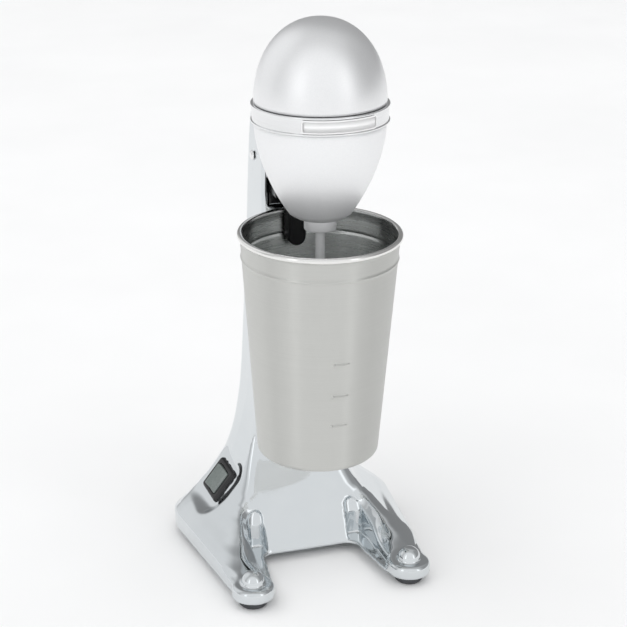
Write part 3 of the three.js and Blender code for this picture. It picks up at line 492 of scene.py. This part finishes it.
# The CAD nodes that stay as they are, mostly inside the head and the stand
KEPT_NODES = {
    "bottom_cover": SATIN_BLACK, "terminal_block": NYLON, "suppression_capacitor": SATIN_BLACK,
    "switch_body": SATIN_BLACK, "hinge_pin_clip": STEEL, "hinge_washer_left": NYLON,
    "hinge_washer_right": NYLON, "shaft_seal": RUBBER, "lower_bearing_bracket": IRON,
    "lower_bearing": STEEL, "upper_bearing_bracket": IRON, "upper_bearing": STEEL,
    "stator_core": IRON, "field_coil_left": COPPER, "field_coil_right": COPPER,
    "carbon_brush_left": CARBON, "carbon_brush_right": CARBON, "brush_holder_left": SATIN_BLACK,
    "brush_holder_right": SATIN_BLACK, "motor_stud_front": STEEL, "motor_stud_rear": STEEL,
    "motor_shaft": STEEL, "armature_core": IRON, "commutator": COPPER,
    "cooling_fan": SATIN_BLACK, "spindle_coupling": STEEL, "arm_screw_1": IRON,
    "arm_screw_2": IRON, "hanger_screw_1": IRON, "hanger_screw_2": IRON,
    "cover_screw_1": IRON, "cover_screw_2": IRON, "cover_screw_3": IRON, "cover_screw_4": IRON,
}
for node_name, finish in KEPT_NODES.items():
    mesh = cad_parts[node_name].data
    mesh.materials.clear()
    mesh.materials.append(finish)


# ------------------------------------------------------------------------------------------------
# Turned and field-built pieces
# ------------------------------------------------------------------------------------------------

def filleted(corners, steps=4, closed=True):
    """Polyline in which each [x, y, radius] corner is rounded off."""
    line = []
    last = len(corners) - 1
    for i, (x, y, radius) in enumerate(corners):
        corner = np.array([x, y], float)
        if radius <= 0 or (not closed and i in (0, last)):
            line.append(corner)
            continue
        before = np.array(corners[i - 1][:2], float) - corner
        after = np.array(corners[(i + 1) % len(corners)][:2], float) - corner
        lengths = np.linalg.norm(before), np.linalg.norm(after)
        before, after = before / lengths[0], after / lengths[1]
        angle = math.acos(np.clip(before @ after, -1, 1))
        cut = min(radius / math.tan(angle / 2), 0.49 * lengths[0], 0.49 * lengths[1])
        for t in np.linspace(0, 1, steps + 1):
            line.append(corner + cut * ((1 - t) ** 2 * before + t ** 2 * after))
    return line


def turned(outline, segments=96):
    """An outline of (radius, height) points, anticlockwise, turned about Z."""
    angles = np.linspace(0, 2 * math.pi, segments, endpoint=False)
    points, rows = [], []
    for radius, height in outline:
        start = len(points)
        if radius < 1e-6:
            points.append((0, 0, height))
            rows.append([start] * segments)
        else:
            points.extend((radius * math.cos(a), radius * math.sin(a), height) for a in angles)
            rows.append(list(range(start, start + segments)))
    on_axis = outline[0][0] < 1e-6 and outline[-1][0] < 1e-6
    faces = []
    for low, high in zip(rows, rows[1:] + ([] if on_axis else rows[:1])):
        for i in range(segments):
            j = (i + 1) % segments
            face = list(dict.fromkeys([low[i], low[j], high[j], high[i]]))
            if len(face) > 2:
                faces.append(face)
    return np.array(points), faces


def placed(points, matrix):
    return np.asarray(points) @ np.array(matrix.to_3x3()).T + np.array(matrix.translation)


ALONG_X = Matrix.Rotation(math.pi / 2, 4, "Y")        # Z turns to +X
ALONG_Y = Matrix.Rotation(-math.pi / 2, 4, "X")       # Z turns to +Y


def turned_piece(name, outline, body, material, replaces, matrix=Matrix(), segments=96):
    points, faces = turned(outline, segments)
    return make_piece(name, placed(points, matrix), faces, body, [material], replaces)


def field_piece(name, field, low, high, step, body, material, replaces, matrix=Matrix(),
                rounds=(0.5, 0.25, 0)):
    points, faces = surface_nets(field, low, high, step)
    points = settle(field, points, faces, step, rounds)
    return make_piece(name, placed(points, matrix), faces, body, [material], replaces)


# ------------------------------------------------------------------------------------------------
# Stand
# ------------------------------------------------------------------------------------------------

CASTING_STEP = 1.1
points, faces = surface_nets(casting_field, (-70, -38, 3), (70, 104, 266), CASTING_STEP)
points = settle(casting_field, points, faces, CASTING_STEP, (0.5, 0.5, 0.25, 0))
make_piece("stand_body", points, faces, "base", [CHROME], ["stand_casting"])

FOOT_OUTLINE = filleted([[0, 0, 0], [6.9, 0, 0.5], [8, 1.3, 0.6], [7.5, 4.65, 0.3], [2.4, 4.65, 0],
                         [2.4, 9.65, 0.3], [0, 9.65, 0]], closed=False)
for side_name, side in (("left", -1), ("right", 1)):
    for end_name, foot_x, foot_y in (("front", TOE_X, TOE_Y), ("rear", REAR_FOOT_X, REAR_FOOT_Y)):
        turned_piece(f"rubber_foot_{end_name}_{side_name}", FOOT_OUTLINE, "base", RUBBER,
                     [f"{end_name}_foot_{side_name}"],
                     Matrix.Translation((side * foot_x, foot_y, 0)), 48)

# Sleeve where the mains lead would enter, with grip rings on its flange
BUSH_OUTLINE = filleted([[2.6, 0, 0.2], [4.1, 0, 0.3], [4.1, 9, 0], [6.4, 9, 0.4], [6.4, 11, 0.7],
                         [4.6, 11, 0.2], [4.2, 10.6, 0.2], [3.8, 11, 0.2], [2.6, 11, 0.4]])
turned_piece("cord_bush", BUSH_OUTLINE, "base", SATIN_BLACK, ["cord_inlet_bush"],
             Matrix.Translation((0, HEEL_Y, CORD_HEIGHT)) @ ALONG_Y, 48)

# Tilt pin with a domed head on the left
PIN_OUTLINE = filleted([[0, -18.95, 0], [1.9, -18.7, 0.8], [2.8, -17.9, 0.5], [2.8, -17.35, 0.15],
                        [2, -17.35, 0], [2, 18.6, 0.4], [0, 18.6, 0]], closed=False)
turned_piece("tilt_pin", PIN_OUTLINE, "base", PIN_STEEL, ["hinge_pin"],
             Matrix.Translation((0, PIVOT_Y, PIVOT_Z)) @ ALONG_X, 40)


# ------------------------------------------------------------------------------------------------
# Power switch
# ------------------------------------------------------------------------------------------------

BEZEL_HALF, BEZEL_LOW, BEZEL_HIGH = (10.75, 10), -1.5, 1.8
BEZEL_WINDOW_HALF = (7.8, 6.2)
ROCKER_HALF, ROCKER_MIDDLE = (7.3, 5.7), 2.55
ROCKER_ANGLE = math.radians(8)


def bezel_field(x, y, z):
    """Frame with a chamfered outside and rounded corners."""
    outside = round_max(np.abs(x) - BEZEL_HALF[0], np.abs(y) - BEZEL_HALF[1], 2.2)
    chamfer = (outside + z - 1.5) * 0.707 + 0.6
    plate = round_max(round_max(outside, slab(z, BEZEL_LOW, BEZEL_HIGH), 0.4), chamfer, 0.3)
    window = round_max(np.abs(x) - BEZEL_WINDOW_HALF[0], np.abs(y) - BEZEL_WINDOW_HALF[1], 1.2)
    return round_max(plate, -window, 0.3)


def rocker_field(x, y, z):
    """Shallow V across Y in the rocker's own frame, with a slight dish in each half."""
    rise = np.abs(y) * math.tan(ROCKER_ANGLE)
    top = (z - ROCKER_MIDDLE - rise) * 0.99
    dish = 0.35 * np.exp(-((np.abs(y) - 3.2) / 1.8) ** 2 - (x / 5.2) ** 2)
    ends = np.abs(y) - ROCKER_HALF[1] + 0.12 * np.maximum(2 - z, 0)
    walls = round_max(np.abs(x) - ROCKER_HALF[0], ends, 0.7)
    bottom = -0.9 - z + 0.45 * np.maximum(np.abs(y) - 3, 0)
    return round_max(round_max(walls, top + dish, 0.45), bottom, 0.4)


SWITCH_MATRIX = Matrix.Translation(SWITCH_CENTRE) @ SWITCH_TURNS.to_4x4()
field_piece("switch_frame", bezel_field, (-12, -11.5, -2.5), (12, 11.5, 3), 0.3, "base",
            GLOSS_BLACK, ["switch_bezel"], SWITCH_MATRIX)
field_piece("switch_paddle", rocker_field, (-8.4, -7, -2), (8.4, 7, 4.6), 0.28, "rocker",
            ROCKER_GREY, ["switch_rocker"],
            SWITCH_MATRIX @ Matrix.Rotation(ROCKER_ANGLE, 4, "X"))


# ------------------------------------------------------------------------------------------------
# Head
# ------------------------------------------------------------------------------------------------

BAND_BOTTOM, BAND_TOP, BAND_RADIUS = 267.5, 277.2, 36.1
SHELL_JOINT, SHELL_SEAT, SHELL_WALL, SHELL_GAP = 272.2, 34.2, 2.2, 0.2
SHELL_SEAT_INSIDE = SHELL_SEAT - SHELL_WALL
DOME_HEIGHT, DOME_RADIUS, DOME_POWER = 44.4, 35.2, 2.12
NOSE_HEIGHT, NOSE_RADIUS, NOSE_DEPTH_POWER, NOSE_WIDTH_POWER = 66.8, 35.1, 1.75, 1.29
NOSE_TIP, NOSE_TIP_TOP, NOSE_HOLE_RADIUS = 214.6, 217, 7


def dome_radius(z):
    height = np.clip((z - BAND_TOP) / DOME_HEIGHT, 0, 1)
    return DOME_RADIUS * (1 - height ** DOME_POWER) ** (1 / DOME_POWER)


def nose_radius(z):
    depth = np.clip((BAND_BOTTOM - z) / NOSE_HEIGHT, 0, 1)
    return NOSE_RADIUS * (1 - depth ** NOSE_DEPTH_POWER) ** (1 / NOSE_WIDTH_POWER)


def dome_outline():
    """Half section of the upper shell, from its seat inside the band, over the top and back."""
    heights = BAND_TOP + DOME_HEIGHT * np.sin(np.linspace(0.01, math.pi / 2, 40))
    seat = [(SHELL_SEAT_INSIDE, SHELL_JOINT + SHELL_GAP), (SHELL_SEAT, SHELL_JOINT + SHELL_GAP),
            (SHELL_SEAT, BAND_TOP + SHELL_GAP), (34.8, BAND_TOP + 0.3)]
    outer = [(dome_radius(z), z) for z in heights[:-1]] + [(0, heights[-1])]
    inner = [(0, heights[-1] - SHELL_WALL)] + [
        (max(dome_radius(z) - SHELL_WALL, 1), z - SHELL_WALL * (z - BAND_TOP) / DOME_HEIGHT)
        for z in heights[-4::-3] if dome_radius(z) > 6]
    return seat + outer + inner


def nose_outline():
    """Half section of the lower shell, from the spindle's hole, up to its seat and back."""
    heights = np.concatenate([np.linspace(NOSE_TIP_TOP, 240, 16),
                              np.linspace(242, BAND_BOTTOM - 0.8, 14)])
    tip = filleted([[NOSE_HOLE_RADIUS, NOSE_TIP, 0.2], [12.9, NOSE_TIP, 1.6],
                    [16.35, NOSE_TIP_TOP, 0]], closed=False)
    outer = [(nose_radius(z), z) for z in heights]
    seat = [(34.7, BAND_BOTTOM - 0.3), (SHELL_SEAT, BAND_BOTTOM - SHELL_GAP),
            (SHELL_SEAT, SHELL_JOINT - SHELL_GAP), (SHELL_SEAT_INSIDE, SHELL_JOINT - SHELL_GAP)]
    inner = [(nose_radius(z) - 1.05 * SHELL_WALL, z + 0.5) for z in heights[::-3] if z < 265]
    return tip[:-1] + outer + seat + inner + [(NOSE_HOLE_RADIUS, NOSE_TIP + 4)]


turned_piece("dome_shell", dome_outline(), "head", SATIN, ["head_upper_shell"],
             segments=144)
turned_piece("nose_shell", nose_outline(), "head", SATIN_PALE, ["head_lower_shell"],
             segments=144)

# Bright band with a rounded bead along each edge
BAND_INSIDE, BEAD_RADIUS = SHELL_SEAT + 0.35, BAND_RADIUS + 0.6
BAND_OUTLINE = filleted([
    [BAND_INSIDE, BAND_BOTTOM, 0.2], [BEAD_RADIUS, BAND_BOTTOM, 0.45],
    [BEAD_RADIUS, BAND_BOTTOM + 1.05, 0.45], [BAND_RADIUS, BAND_BOTTOM + 1.2, 0.15],
    [BAND_RADIUS, BAND_TOP - 1.2, 0.15], [BEAD_RADIUS, BAND_TOP - 1.05, 0.45],
    [BEAD_RADIUS, BAND_TOP, 0.45], [BAND_INSIDE, BAND_TOP, 0.2]])
turned_piece("joint_band", BAND_OUTLINE, "head", BAND, ["head_band"],
             segments=160)


PLATE_GAP, PLATE_HALF_HEIGHT, PLATE_HALF_ANGLE, PLATE_CORNER = 0.35, 3.45, 33.5, 1.6
# Inset from the plate's edge, and rise
PLATE_STEPS = [(0, 0), (0, 0.42), (0.12, 0.6), (0.4, 0.68), (0.62, 0.6), (0.75, 0.5)]


def nameplate_mesh():
    """Curved blank plate with rounded corners and a narrow raised border."""
    base = BAND_RADIUS + PLATE_GAP
    levels = [(inset, base + rise) for inset, rise in PLATE_STEPS]
    half_width = base * math.radians(PLATE_HALF_ANGLE)
    corner_points, edge_points = 6, 34
    points, faces, count = [], [], 0
    for inset, radius in levels:
        w, h = half_width - inset, PLATE_HALF_HEIGHT - inset
        corner = max(PLATE_CORNER - inset, 0.3)
        top = [(-w + corner - corner * math.cos(a), h - corner + corner * math.sin(a))
               for a in np.linspace(0, math.pi / 2, corner_points)]
        top += [(u, h) for u in np.linspace(-w + corner, w - corner, edge_points)[1:-1]]
        top += [(-u, v) for u, v in top[corner_points - 1::-1]]
        ring = top + [(u, -v) for u, v in top[::-1]]
        count = len(ring)
        for u, v in ring:
            angle = math.radians(-90) + u / base
            points.append((radius * math.cos(angle), radius * math.sin(angle),
                           (BAND_BOTTOM + BAND_TOP) / 2 + v))
    for i in range(len(levels) - 1):
        for j in range(count):
            k = (j + 1) % count
            faces.append((i * count + j, i * count + k, (i + 1) * count + k, (i + 1) * count + j))
    for start, flip in ((0, False), ((len(levels) - 1) * count, True)):
        for j in range(count // 2 - 1):
            strip = [start + j, start + j + 1, start + count - 2 - j, start + count - 1 - j]
            faces.append(strip[::-1] if flip else strip)
    return points, [face[::-1] for face in faces]


plate_points, plate_faces = nameplate_mesh()
make_piece("blank_nameplate", plate_points, plate_faces, "head", [PLATE_WHITE], ["nameplate"])

turned_piece("drive_collar", filleted([
    [3.1, 207.5, 0.3], [8.7, 207.5, 0.7], [8.7, 214.25, 0.3], [6.6, 214.25, 0], [6.6, 218, 0.2],
    [5.6, 218, 0.2], [5.6, 210.5, 0], [3.1, 210.5, 0.2]]),
    "head", SATIN_PALE, ["spindle_collar"], segments=80)


# ------------------------------------------------------------------------------------------------
# Arm and cup hanger
# ------------------------------------------------------------------------------------------------

ARM_BOTTOM, ARM_HALF_WIDTH, ARM_BORE = 222, 12.4, 2.45
ARM_OUTLINE = [[20, ARM_BOTTOM], [68, ARM_BOTTOM], [68, 242], [54, 246], [22, 254]]   # Y, Z
KNUCKLE_RADIUS = 10
HANGER_HALF_WIDTH, HANGER_BOTTOM, HANGER_TOP = 13.2, 208, 221.65
HANGER_FRONT, HANGER_REAR = 38, 60
NOTCH_TOP, NOTCH_REAR = 214.6, 50.2
TONGUE_FRONT, TONGUE_REAR = 36.4, 40.4


def polygon_field(a, b, corners):
    """Distance field of a convex polygon, given anticlockwise."""
    field = -1e9
    for (a0, b0), (a1, b1) in zip(corners, corners[1:] + corners[:1]):
        length = math.hypot(a1 - a0, b1 - b0)
        field = np.maximum(field, ((b1 - b0) * (a - a0) - (a1 - a0) * (b - b0)) / length)
    return field


def arm_field(x, y, z):
    web = polygon_field(y, z, ARM_OUTLINE)
    knuckle = np.hypot(y - PIVOT_Y, z - PIVOT_Z) - KNUCKLE_RADIUS
    side = round_min(web, knuckle, 4)
    side = np.maximum(side, ARM_BOTTOM - z)
    arm = round_max(side, np.abs(x) - ARM_HALF_WIDTH, 1.4)
    arm = round_max(arm, nose_radius(z) + 0.5 - np.hypot(x, y), 0.4)
    return np.maximum(arm, ARM_BORE - np.hypot(y - PIVOT_Y, z - PIVOT_Z))


field_piece("tilt_arm", arm_field, (-14, 12, 220), (14, 80, 256), 0.8, "head", SATIN,
            ["head_arm"])


def hanger_field(x, y, z):
    """Block in the fork with a notch over the cup's rim, and a tongue inside the rim."""
    block = rounded_box(x, y, z, (-HANGER_HALF_WIDTH, HANGER_FRONT, HANGER_BOTTOM),
                        (HANGER_HALF_WIDTH, HANGER_REAR, HANGER_TOP), 0.9)
    notch = round_max(slab(y, TONGUE_REAR, NOTCH_REAR), z - NOTCH_TOP, 0.6)
    shoulder = np.maximum(np.maximum(7.6 - np.abs(x), y - 41.4), z - NOTCH_TOP)
    block = round_max(block, -np.minimum(notch, shoulder), 0.5)
    half = 4.6 + 2.2 * np.clip((y - TONGUE_FRONT) / 4, 0, 1)
    tip = 186.4 + 0.3 * np.clip(y - TONGUE_FRONT, 0, 4) + half
    below = np.hypot(x + 1.2, np.minimum(z - tip, 0)) - half
    tongue = round_max(below, slab(y, TONGUE_FRONT, TONGUE_REAR), 0.9)
    tongue = round_max(tongue, z - HANGER_TOP, 0.8)
    return round_min(block, tongue, 1.2)


field_piece("hanger_block", hanger_field, (-14, 35, 185), (14, 61.5, 223), 0.55, "head",
            GLOSS_BLACK, ["cup_hanger"])


# ------------------------------------------------------------------------------------------------
# Spindle
# ------------------------------------------------------------------------------------------------

turned_piece("drive_spindle", filleted([[0, 88.1, 0], [2.5, 88.1, 0.5], [2.5, 223, 0.3],
                                        [0, 223, 0]], closed=False),
             "rotor", SATIN_PALE, ["spindle"], segments=48)


AGITATOR_Z, AGITATOR_RADIUS = 91.5, 10.6
LOBES, LOBE_DEPTH, LOBE_RIPPLE = 6, 0.85, 0.35
NUT_FLATS, NUT_LOW, NUT_HIGH = 3.46, 86.6, 87.75


def agitator_mesh():
    """Six-lobed disc that ripples up and down, pressed round its hub. The hub's rings are radii,
    and the rim's are shares of the lobed radius."""
    segments = 144
    rings = [("hub", 2.85, -0.9), ("hub", 4.5, -0.9), ("rim", 1, -0.55), ("rim", 1.03, 0),
             ("rim", 1, 0.55), ("hub", 4.5, 0.9), ("hub", 2.85, 0.9)]
    points = []
    for kind, radius, height in rings:
        for angle in np.linspace(0, 2 * math.pi, segments, endpoint=False):
            r, ripple = radius, 0
            if kind == "rim":
                r = radius * (AGITATOR_RADIUS + LOBE_DEPTH * math.cos(LOBES * angle))
                ripple = LOBE_RIPPLE * math.sin(LOBES * angle)
            points.append((r * math.cos(angle), r * math.sin(angle),
                           AGITATOR_Z + height + ripple))
    faces = []
    for i in range(len(rings)):
        k = (i + 1) % len(rings)
        for j in range(segments):
            m = (j + 1) % segments
            faces.append((i * segments + j, i * segments + m, k * segments + m, k * segments + j))
    return points, faces


agitator_points, agitator_faces = agitator_mesh()
make_piece("ripple_agitator", agitator_points, agitator_faces, "rotor", [STEEL], ["agitator"])


def nut_field(x, y, z):
    """Hexagon nut with chamfered corners."""
    flats = np.maximum(np.abs(y), np.abs(x) * 0.866 + np.abs(y) * 0.5) - NUT_FLATS
    cone = np.hypot(x, y) + np.abs(z - 87.2) * 1.2 - 4.25
    return round_max(np.maximum(flats, cone * 0.64), slab(z, NUT_LOW, NUT_HIGH), 0.12)


field_piece("spindle_nut", nut_field, (-4.8, -4.8, 86), (4.8, 4.8, 88.4), 0.2, "rotor", STEEL,
            ["agitator_nut"])


# ------------------------------------------------------------------------------------------------
# Cup
# ------------------------------------------------------------------------------------------------

CUP_BOTTOM_RADIUS, CUP_WALL_RADIUS, CUP_CORNER, CUP_WALL = 33.8, 43.3, 3, 0.9
RIM_RADIUS, RIM_ROLL = 44.8, 1.6
SWAGE_DROP, SWAGE_RISE, SWAGE_WIDTH = 12.5, 0.55, 0.75
MARK_HEIGHTS = (66, 47, 29)
MARK_HALF_LENGTH, MARK_WIDTH, MARK_DOT, MARK_RISE = 4.2, 0.42, 0.85, 0.95
FLOOR_CORNER, FLOOR_TOP = 2.1, 1.8


def cup_wall_radius(z):
    slope = (CUP_WALL_RADIUS - CUP_BOTTOM_RADIUS) / (CUP_HEIGHT - CUP_CORNER)
    swage = SWAGE_RISE * np.exp(-((z - (CUP_HEIGHT - SWAGE_DROP)) / SWAGE_WIDTH) ** 2)
    return CUP_BOTTOM_RADIUS + slope * (z - CUP_CORNER) + swage


def mark_height(arc_length, z):
    """Small pressed mark: a short line with a dot at its left end."""
    rise = 0
    for height in MARK_HEIGHTS:
        line = np.exp(-((z - height) / MARK_WIDTH) ** 2 - (arc_length / MARK_HALF_LENGTH) ** 8)
        apart = (z - height) ** 2 + (arc_length + MARK_HALF_LENGTH) ** 2
        rise = rise + MARK_RISE * np.maximum(line, 1.2 * np.exp(-apart / MARK_DOT ** 2))
    return rise


def cup_mesh():
    """The cup, turned about Z from its bottom, with close rows and columns at its marks."""
    marked_half = 9
    fine = np.linspace(-marked_half, marked_half, 61)
    coarse = np.linspace(marked_half, 360 - marked_half, 115)[1:-1]
    angles = np.radians(np.concatenate([fine, coarse]) - 90)
    heights = [CUP_CORNER]
    for height in sorted(MARK_HEIGHTS):
        heights += list(np.linspace(heights[-1] + 2, height - 2, 5))
        heights += list(np.linspace(height - 1.6, height + 1.6, 13))
    swage = CUP_HEIGHT - SWAGE_DROP
    heights += list(np.linspace(heights[-1] + 2, swage - 3, 9))
    heights += list(np.linspace(swage - 2.1, swage + 2.1, 15))
    heights += list(np.linspace(swage + 4, CUP_HEIGHT - 1.8, 5))
    base = [(0, 0.9), (26, 0.9), (28.5, 0.4), (29.6, 0)]
    base += [(CUP_BOTTOM_RADIUS - CUP_CORNER + CUP_CORNER * math.cos(a),
              CUP_CORNER + CUP_CORNER * math.sin(a)) for a in np.linspace(-1.5, -0.15, 6)]
    roll = [(RIM_RADIUS - RIM_ROLL + RIM_ROLL * math.cos(a), CUP_HEIGHT + RIM_ROLL * math.sin(a))
            for a in np.radians(np.linspace(-62, 195, 18))]
    inside = [(cup_wall_radius(z) - CUP_WALL, z)
              for z in heights[::-1] if z < CUP_HEIGHT - 3]
    floor = [(CUP_BOTTOM_RADIUS - CUP_CORNER + FLOOR_CORNER * math.cos(a),
              CUP_CORNER + 0.2 + FLOOR_CORNER * math.sin(a)) for a in np.linspace(-0.2, -1.5, 6)]
    floor += [(28.5, 1.3), (26, FLOOR_TOP), (0, FLOOR_TOP)]
    profile = ([(r, z, False) for r, z in base] + [(cup_wall_radius(z), z, True) for z in heights]
               + [(r, z, False) for r, z in roll + inside + floor])
    last_foot = len(base) - 4
    first_roll = len(base) + len(heights) - 1
    first_inside = first_roll + 15
    points, rows = [], []
    for r, z, marked in profile:
        start = len(points)
        if r < 1e-6:
            points.append((0, 0, z))
            rows.append([start] * len(angles))
            continue
        for a in angles:
            rise = mark_height(r * (a + math.pi / 2), z) if marked else 0
            points.append(((r + rise) * math.cos(a), (r + rise) * math.sin(a), z))
        rows.append(list(range(start, start + len(angles))))
    faces, finishes = [], []
    for i, (low, high) in enumerate(zip(rows, rows[1:])):
        for j in range(len(angles)):
            k = (j + 1) % len(angles)
            face = list(dict.fromkeys([low[j], low[k], high[k], high[j]]))
            faces.append(face)
            # The rim rows take the polished finish. The underside rows take it too, as painted
            # light that is lighter than the outside steel.
            rim_polish_or_lit_base = i >= first_roll or i < last_foot
            finishes.append(1 if i >= first_inside else 2 if rim_polish_or_lit_base else 0)
    return points, faces, finishes


cup_points, cup_faces, cup_finishes = cup_mesh()
CUP_MATRIX = (Matrix.Translation((0, CUP_BOTTOM_Y, CUP_BOTTOM_Z))
              @ Matrix.Rotation(CUP_LEAN, 4, "X"))
make_piece("steel_cup", placed(cup_points, CUP_MATRIX), cup_faces, "cup",
           [CUP_OUTSIDE, CUP_INSIDE_LIT, RIM_POLISH_AND_LIT_BASE], ["mixing_cup"],
           face_materials=cup_finishes)


# ------------------------------------------------------------------------------------------------
# Studio
# ------------------------------------------------------------------------------------------------

CAMERA_AZIMUTH, CAMERA_PITCH = math.radians(-18.1), math.radians(20.3)
CAMERA_DISTANCE = 1.0
TARGET_HEIGHT, TARGET_LEFT = 159, 3.55      # above the floor, and left of the spindle axis
back = Vector((math.sin(CAMERA_AZIMUTH) * math.cos(CAMERA_PITCH),
               -math.cos(CAMERA_AZIMUTH) * math.cos(CAMERA_PITCH), math.sin(CAMERA_PITCH)))
right = Vector((math.cos(CAMERA_AZIMUTH), math.sin(CAMERA_AZIMUTH), 0))
target = Vector((0, -FOOTPRINT_CENTRE_Y, TARGET_HEIGHT)) * MM - right * TARGET_LEFT * MM
camera = bpy.data.objects.new("camera", bpy.data.cameras.new("camera"))
bpy.context.scene.collection.objects.link(camera)
camera.data.sensor_width = 36
camera.data.lens = 105.4
camera.location = target + back * CAMERA_DISTANCE
camera.rotation_mode = "QUATERNION"
camera.rotation_quaternion = (-back).to_track_quat("-Z", "Y")
bpy.context.scene.camera = camera


def studio_floor():
    """Wide round floor, so that no edge shows."""
    ring = 64
    points = [(0, 0, 0)]
    faces = []
    for radius in (0.3, 1, 4, 12):
        start = len(points)
        points += [(radius * math.cos(2 * math.pi * i / ring),
                    radius * math.sin(2 * math.pi * i / ring), 0) for i in range(ring)]
        for i in range(ring):
            j = (i + 1) % ring
            if start == 1:
                faces.append((0, start + i, start + j))
            else:
                faces.append((start - ring + i, start + i, start + j, start - ring + j))
    mesh = bpy.data.meshes.new("studio_floor")
    mesh.from_pydata(points, [], faces)
    mesh.materials.append(moulded("pale_floor", (0.9, 0.9, 0.9), (0.93, 0.93, 0.93), 0.7, 0.8,
                                  30, 0.0001))
    floor = bpy.data.objects.new("studio_floor", mesh)
    bpy.context.scene.collection.objects.link(floor)


studio_floor()


def studio_world(base, lobes):
    """White surroundings with soft brighter and darker patches. Each lobe is azimuth and
    elevation in degrees, inner and outer half angle, stretch upwards, and brightness added.
    The camera itself sees an even near-white."""
    world = bpy.data.worlds.new("studio")
    bpy.context.scene.world = world
    world.use_nodes = True
    nodes, links = world.node_tree.nodes, world.node_tree.links
    backdrop = nodes["Background"]
    place = nodes.new("ShaderNodeTexCoord")
    total = None
    for azimuth, elevation, inner, outer, stretch, amount in lobes:
        a, e = math.radians(azimuth), math.radians(elevation)
        squeeze = nodes.new("ShaderNodeVectorMath")
        squeeze.operation = "MULTIPLY"
        squeeze.inputs[1].default_value = (1, 1, 1 / stretch)
        links.new(place.outputs["Generated"], squeeze.inputs[0])
        unit = nodes.new("ShaderNodeVectorMath")
        unit.operation = "NORMALIZE"
        links.new(squeeze.outputs[0], unit.inputs[0])
        dot = nodes.new("ShaderNodeVectorMath")
        dot.operation = "DOT_PRODUCT"
        aim = Vector((math.sin(a) * math.cos(e), -math.cos(a) * math.cos(e),
                      math.sin(e) / stretch)).normalized()
        dot.inputs[1].default_value = aim
        links.new(unit.outputs[0], dot.inputs[0])
        span = nodes.new("ShaderNodeMapRange")
        span.interpolation_type = "SMOOTHSTEP"
        for socket, value in (("From Min", math.cos(math.radians(outer))),
                              ("From Max", math.cos(math.radians(inner))),
                              ("To Min", 0), ("To Max", amount)):
            span.inputs[socket].default_value = value
        links.new(dot.outputs["Value"], span.inputs["Value"])
        add = nodes.new("ShaderNodeMath")
        add.operation = "ADD"
        if total is None:
            add.inputs[0].default_value = base
        else:
            links.new(total, add.inputs[0])
        links.new(span.outputs["Result"], add.inputs[1])
        total = add.outputs[0]
    at_least = nodes.new("ShaderNodeMath")
    at_least.operation = "MAXIMUM"
    at_least.inputs[1].default_value = 0.02
    links.new(total, at_least.inputs[0])
    seen = nodes.new("ShaderNodeLightPath")
    white = nodes.new("ShaderNodeMix")
    links.new(seen.outputs["Is Camera Ray"], white.inputs["Factor"])
    links.new(at_least.outputs[0], white.inputs["A"])
    white.inputs["B"].default_value = 1
    links.new(white.outputs["Result"], backdrop.inputs["Strength"])
    backdrop.inputs["Color"].default_value = (0.985, 0.992, 1, 1)


# Azimuth is measured from the front (-Y) towards +X, as the camera's is
studio_world(0.58, [
    (-22, 8, 50, 74, 1, 0.36),         # large softbox behind the camera
    (-56, 10, 2, 10, 5, 0.5),          # bright strips near its edges
    (31, 10, 2, 10, 5, 0.5),
    (-104, 10, 4, 15, 4, -0.1),        # darker gap on the left
    (80, 10, 8, 30, 3, -0.22),         # darker gap on the right
    (-135, 20, 20, 45, 1.5, 0.3),      # wall behind left
    (150, 20, 20, 60, 1.5, -0.3),      # darker wall behind right
])


def overhead_light():
    """Wide soft light that whitens the floor evenly."""
    light = bpy.data.lights.new("overhead_light", "AREA")
    light.shape = "DISK"
    light.size = 9
    light.energy = 132
    lamp = bpy.data.objects.new("overhead_light", light)
    lamp.location = (0, 0, 3)
    lamp.visible_camera = False
    lamp.visible_glossy = False
    bpy.context.scene.collection.objects.link(lamp)


overhead_light()

bpy.context.scene.view_settings.view_transform = "Standard"
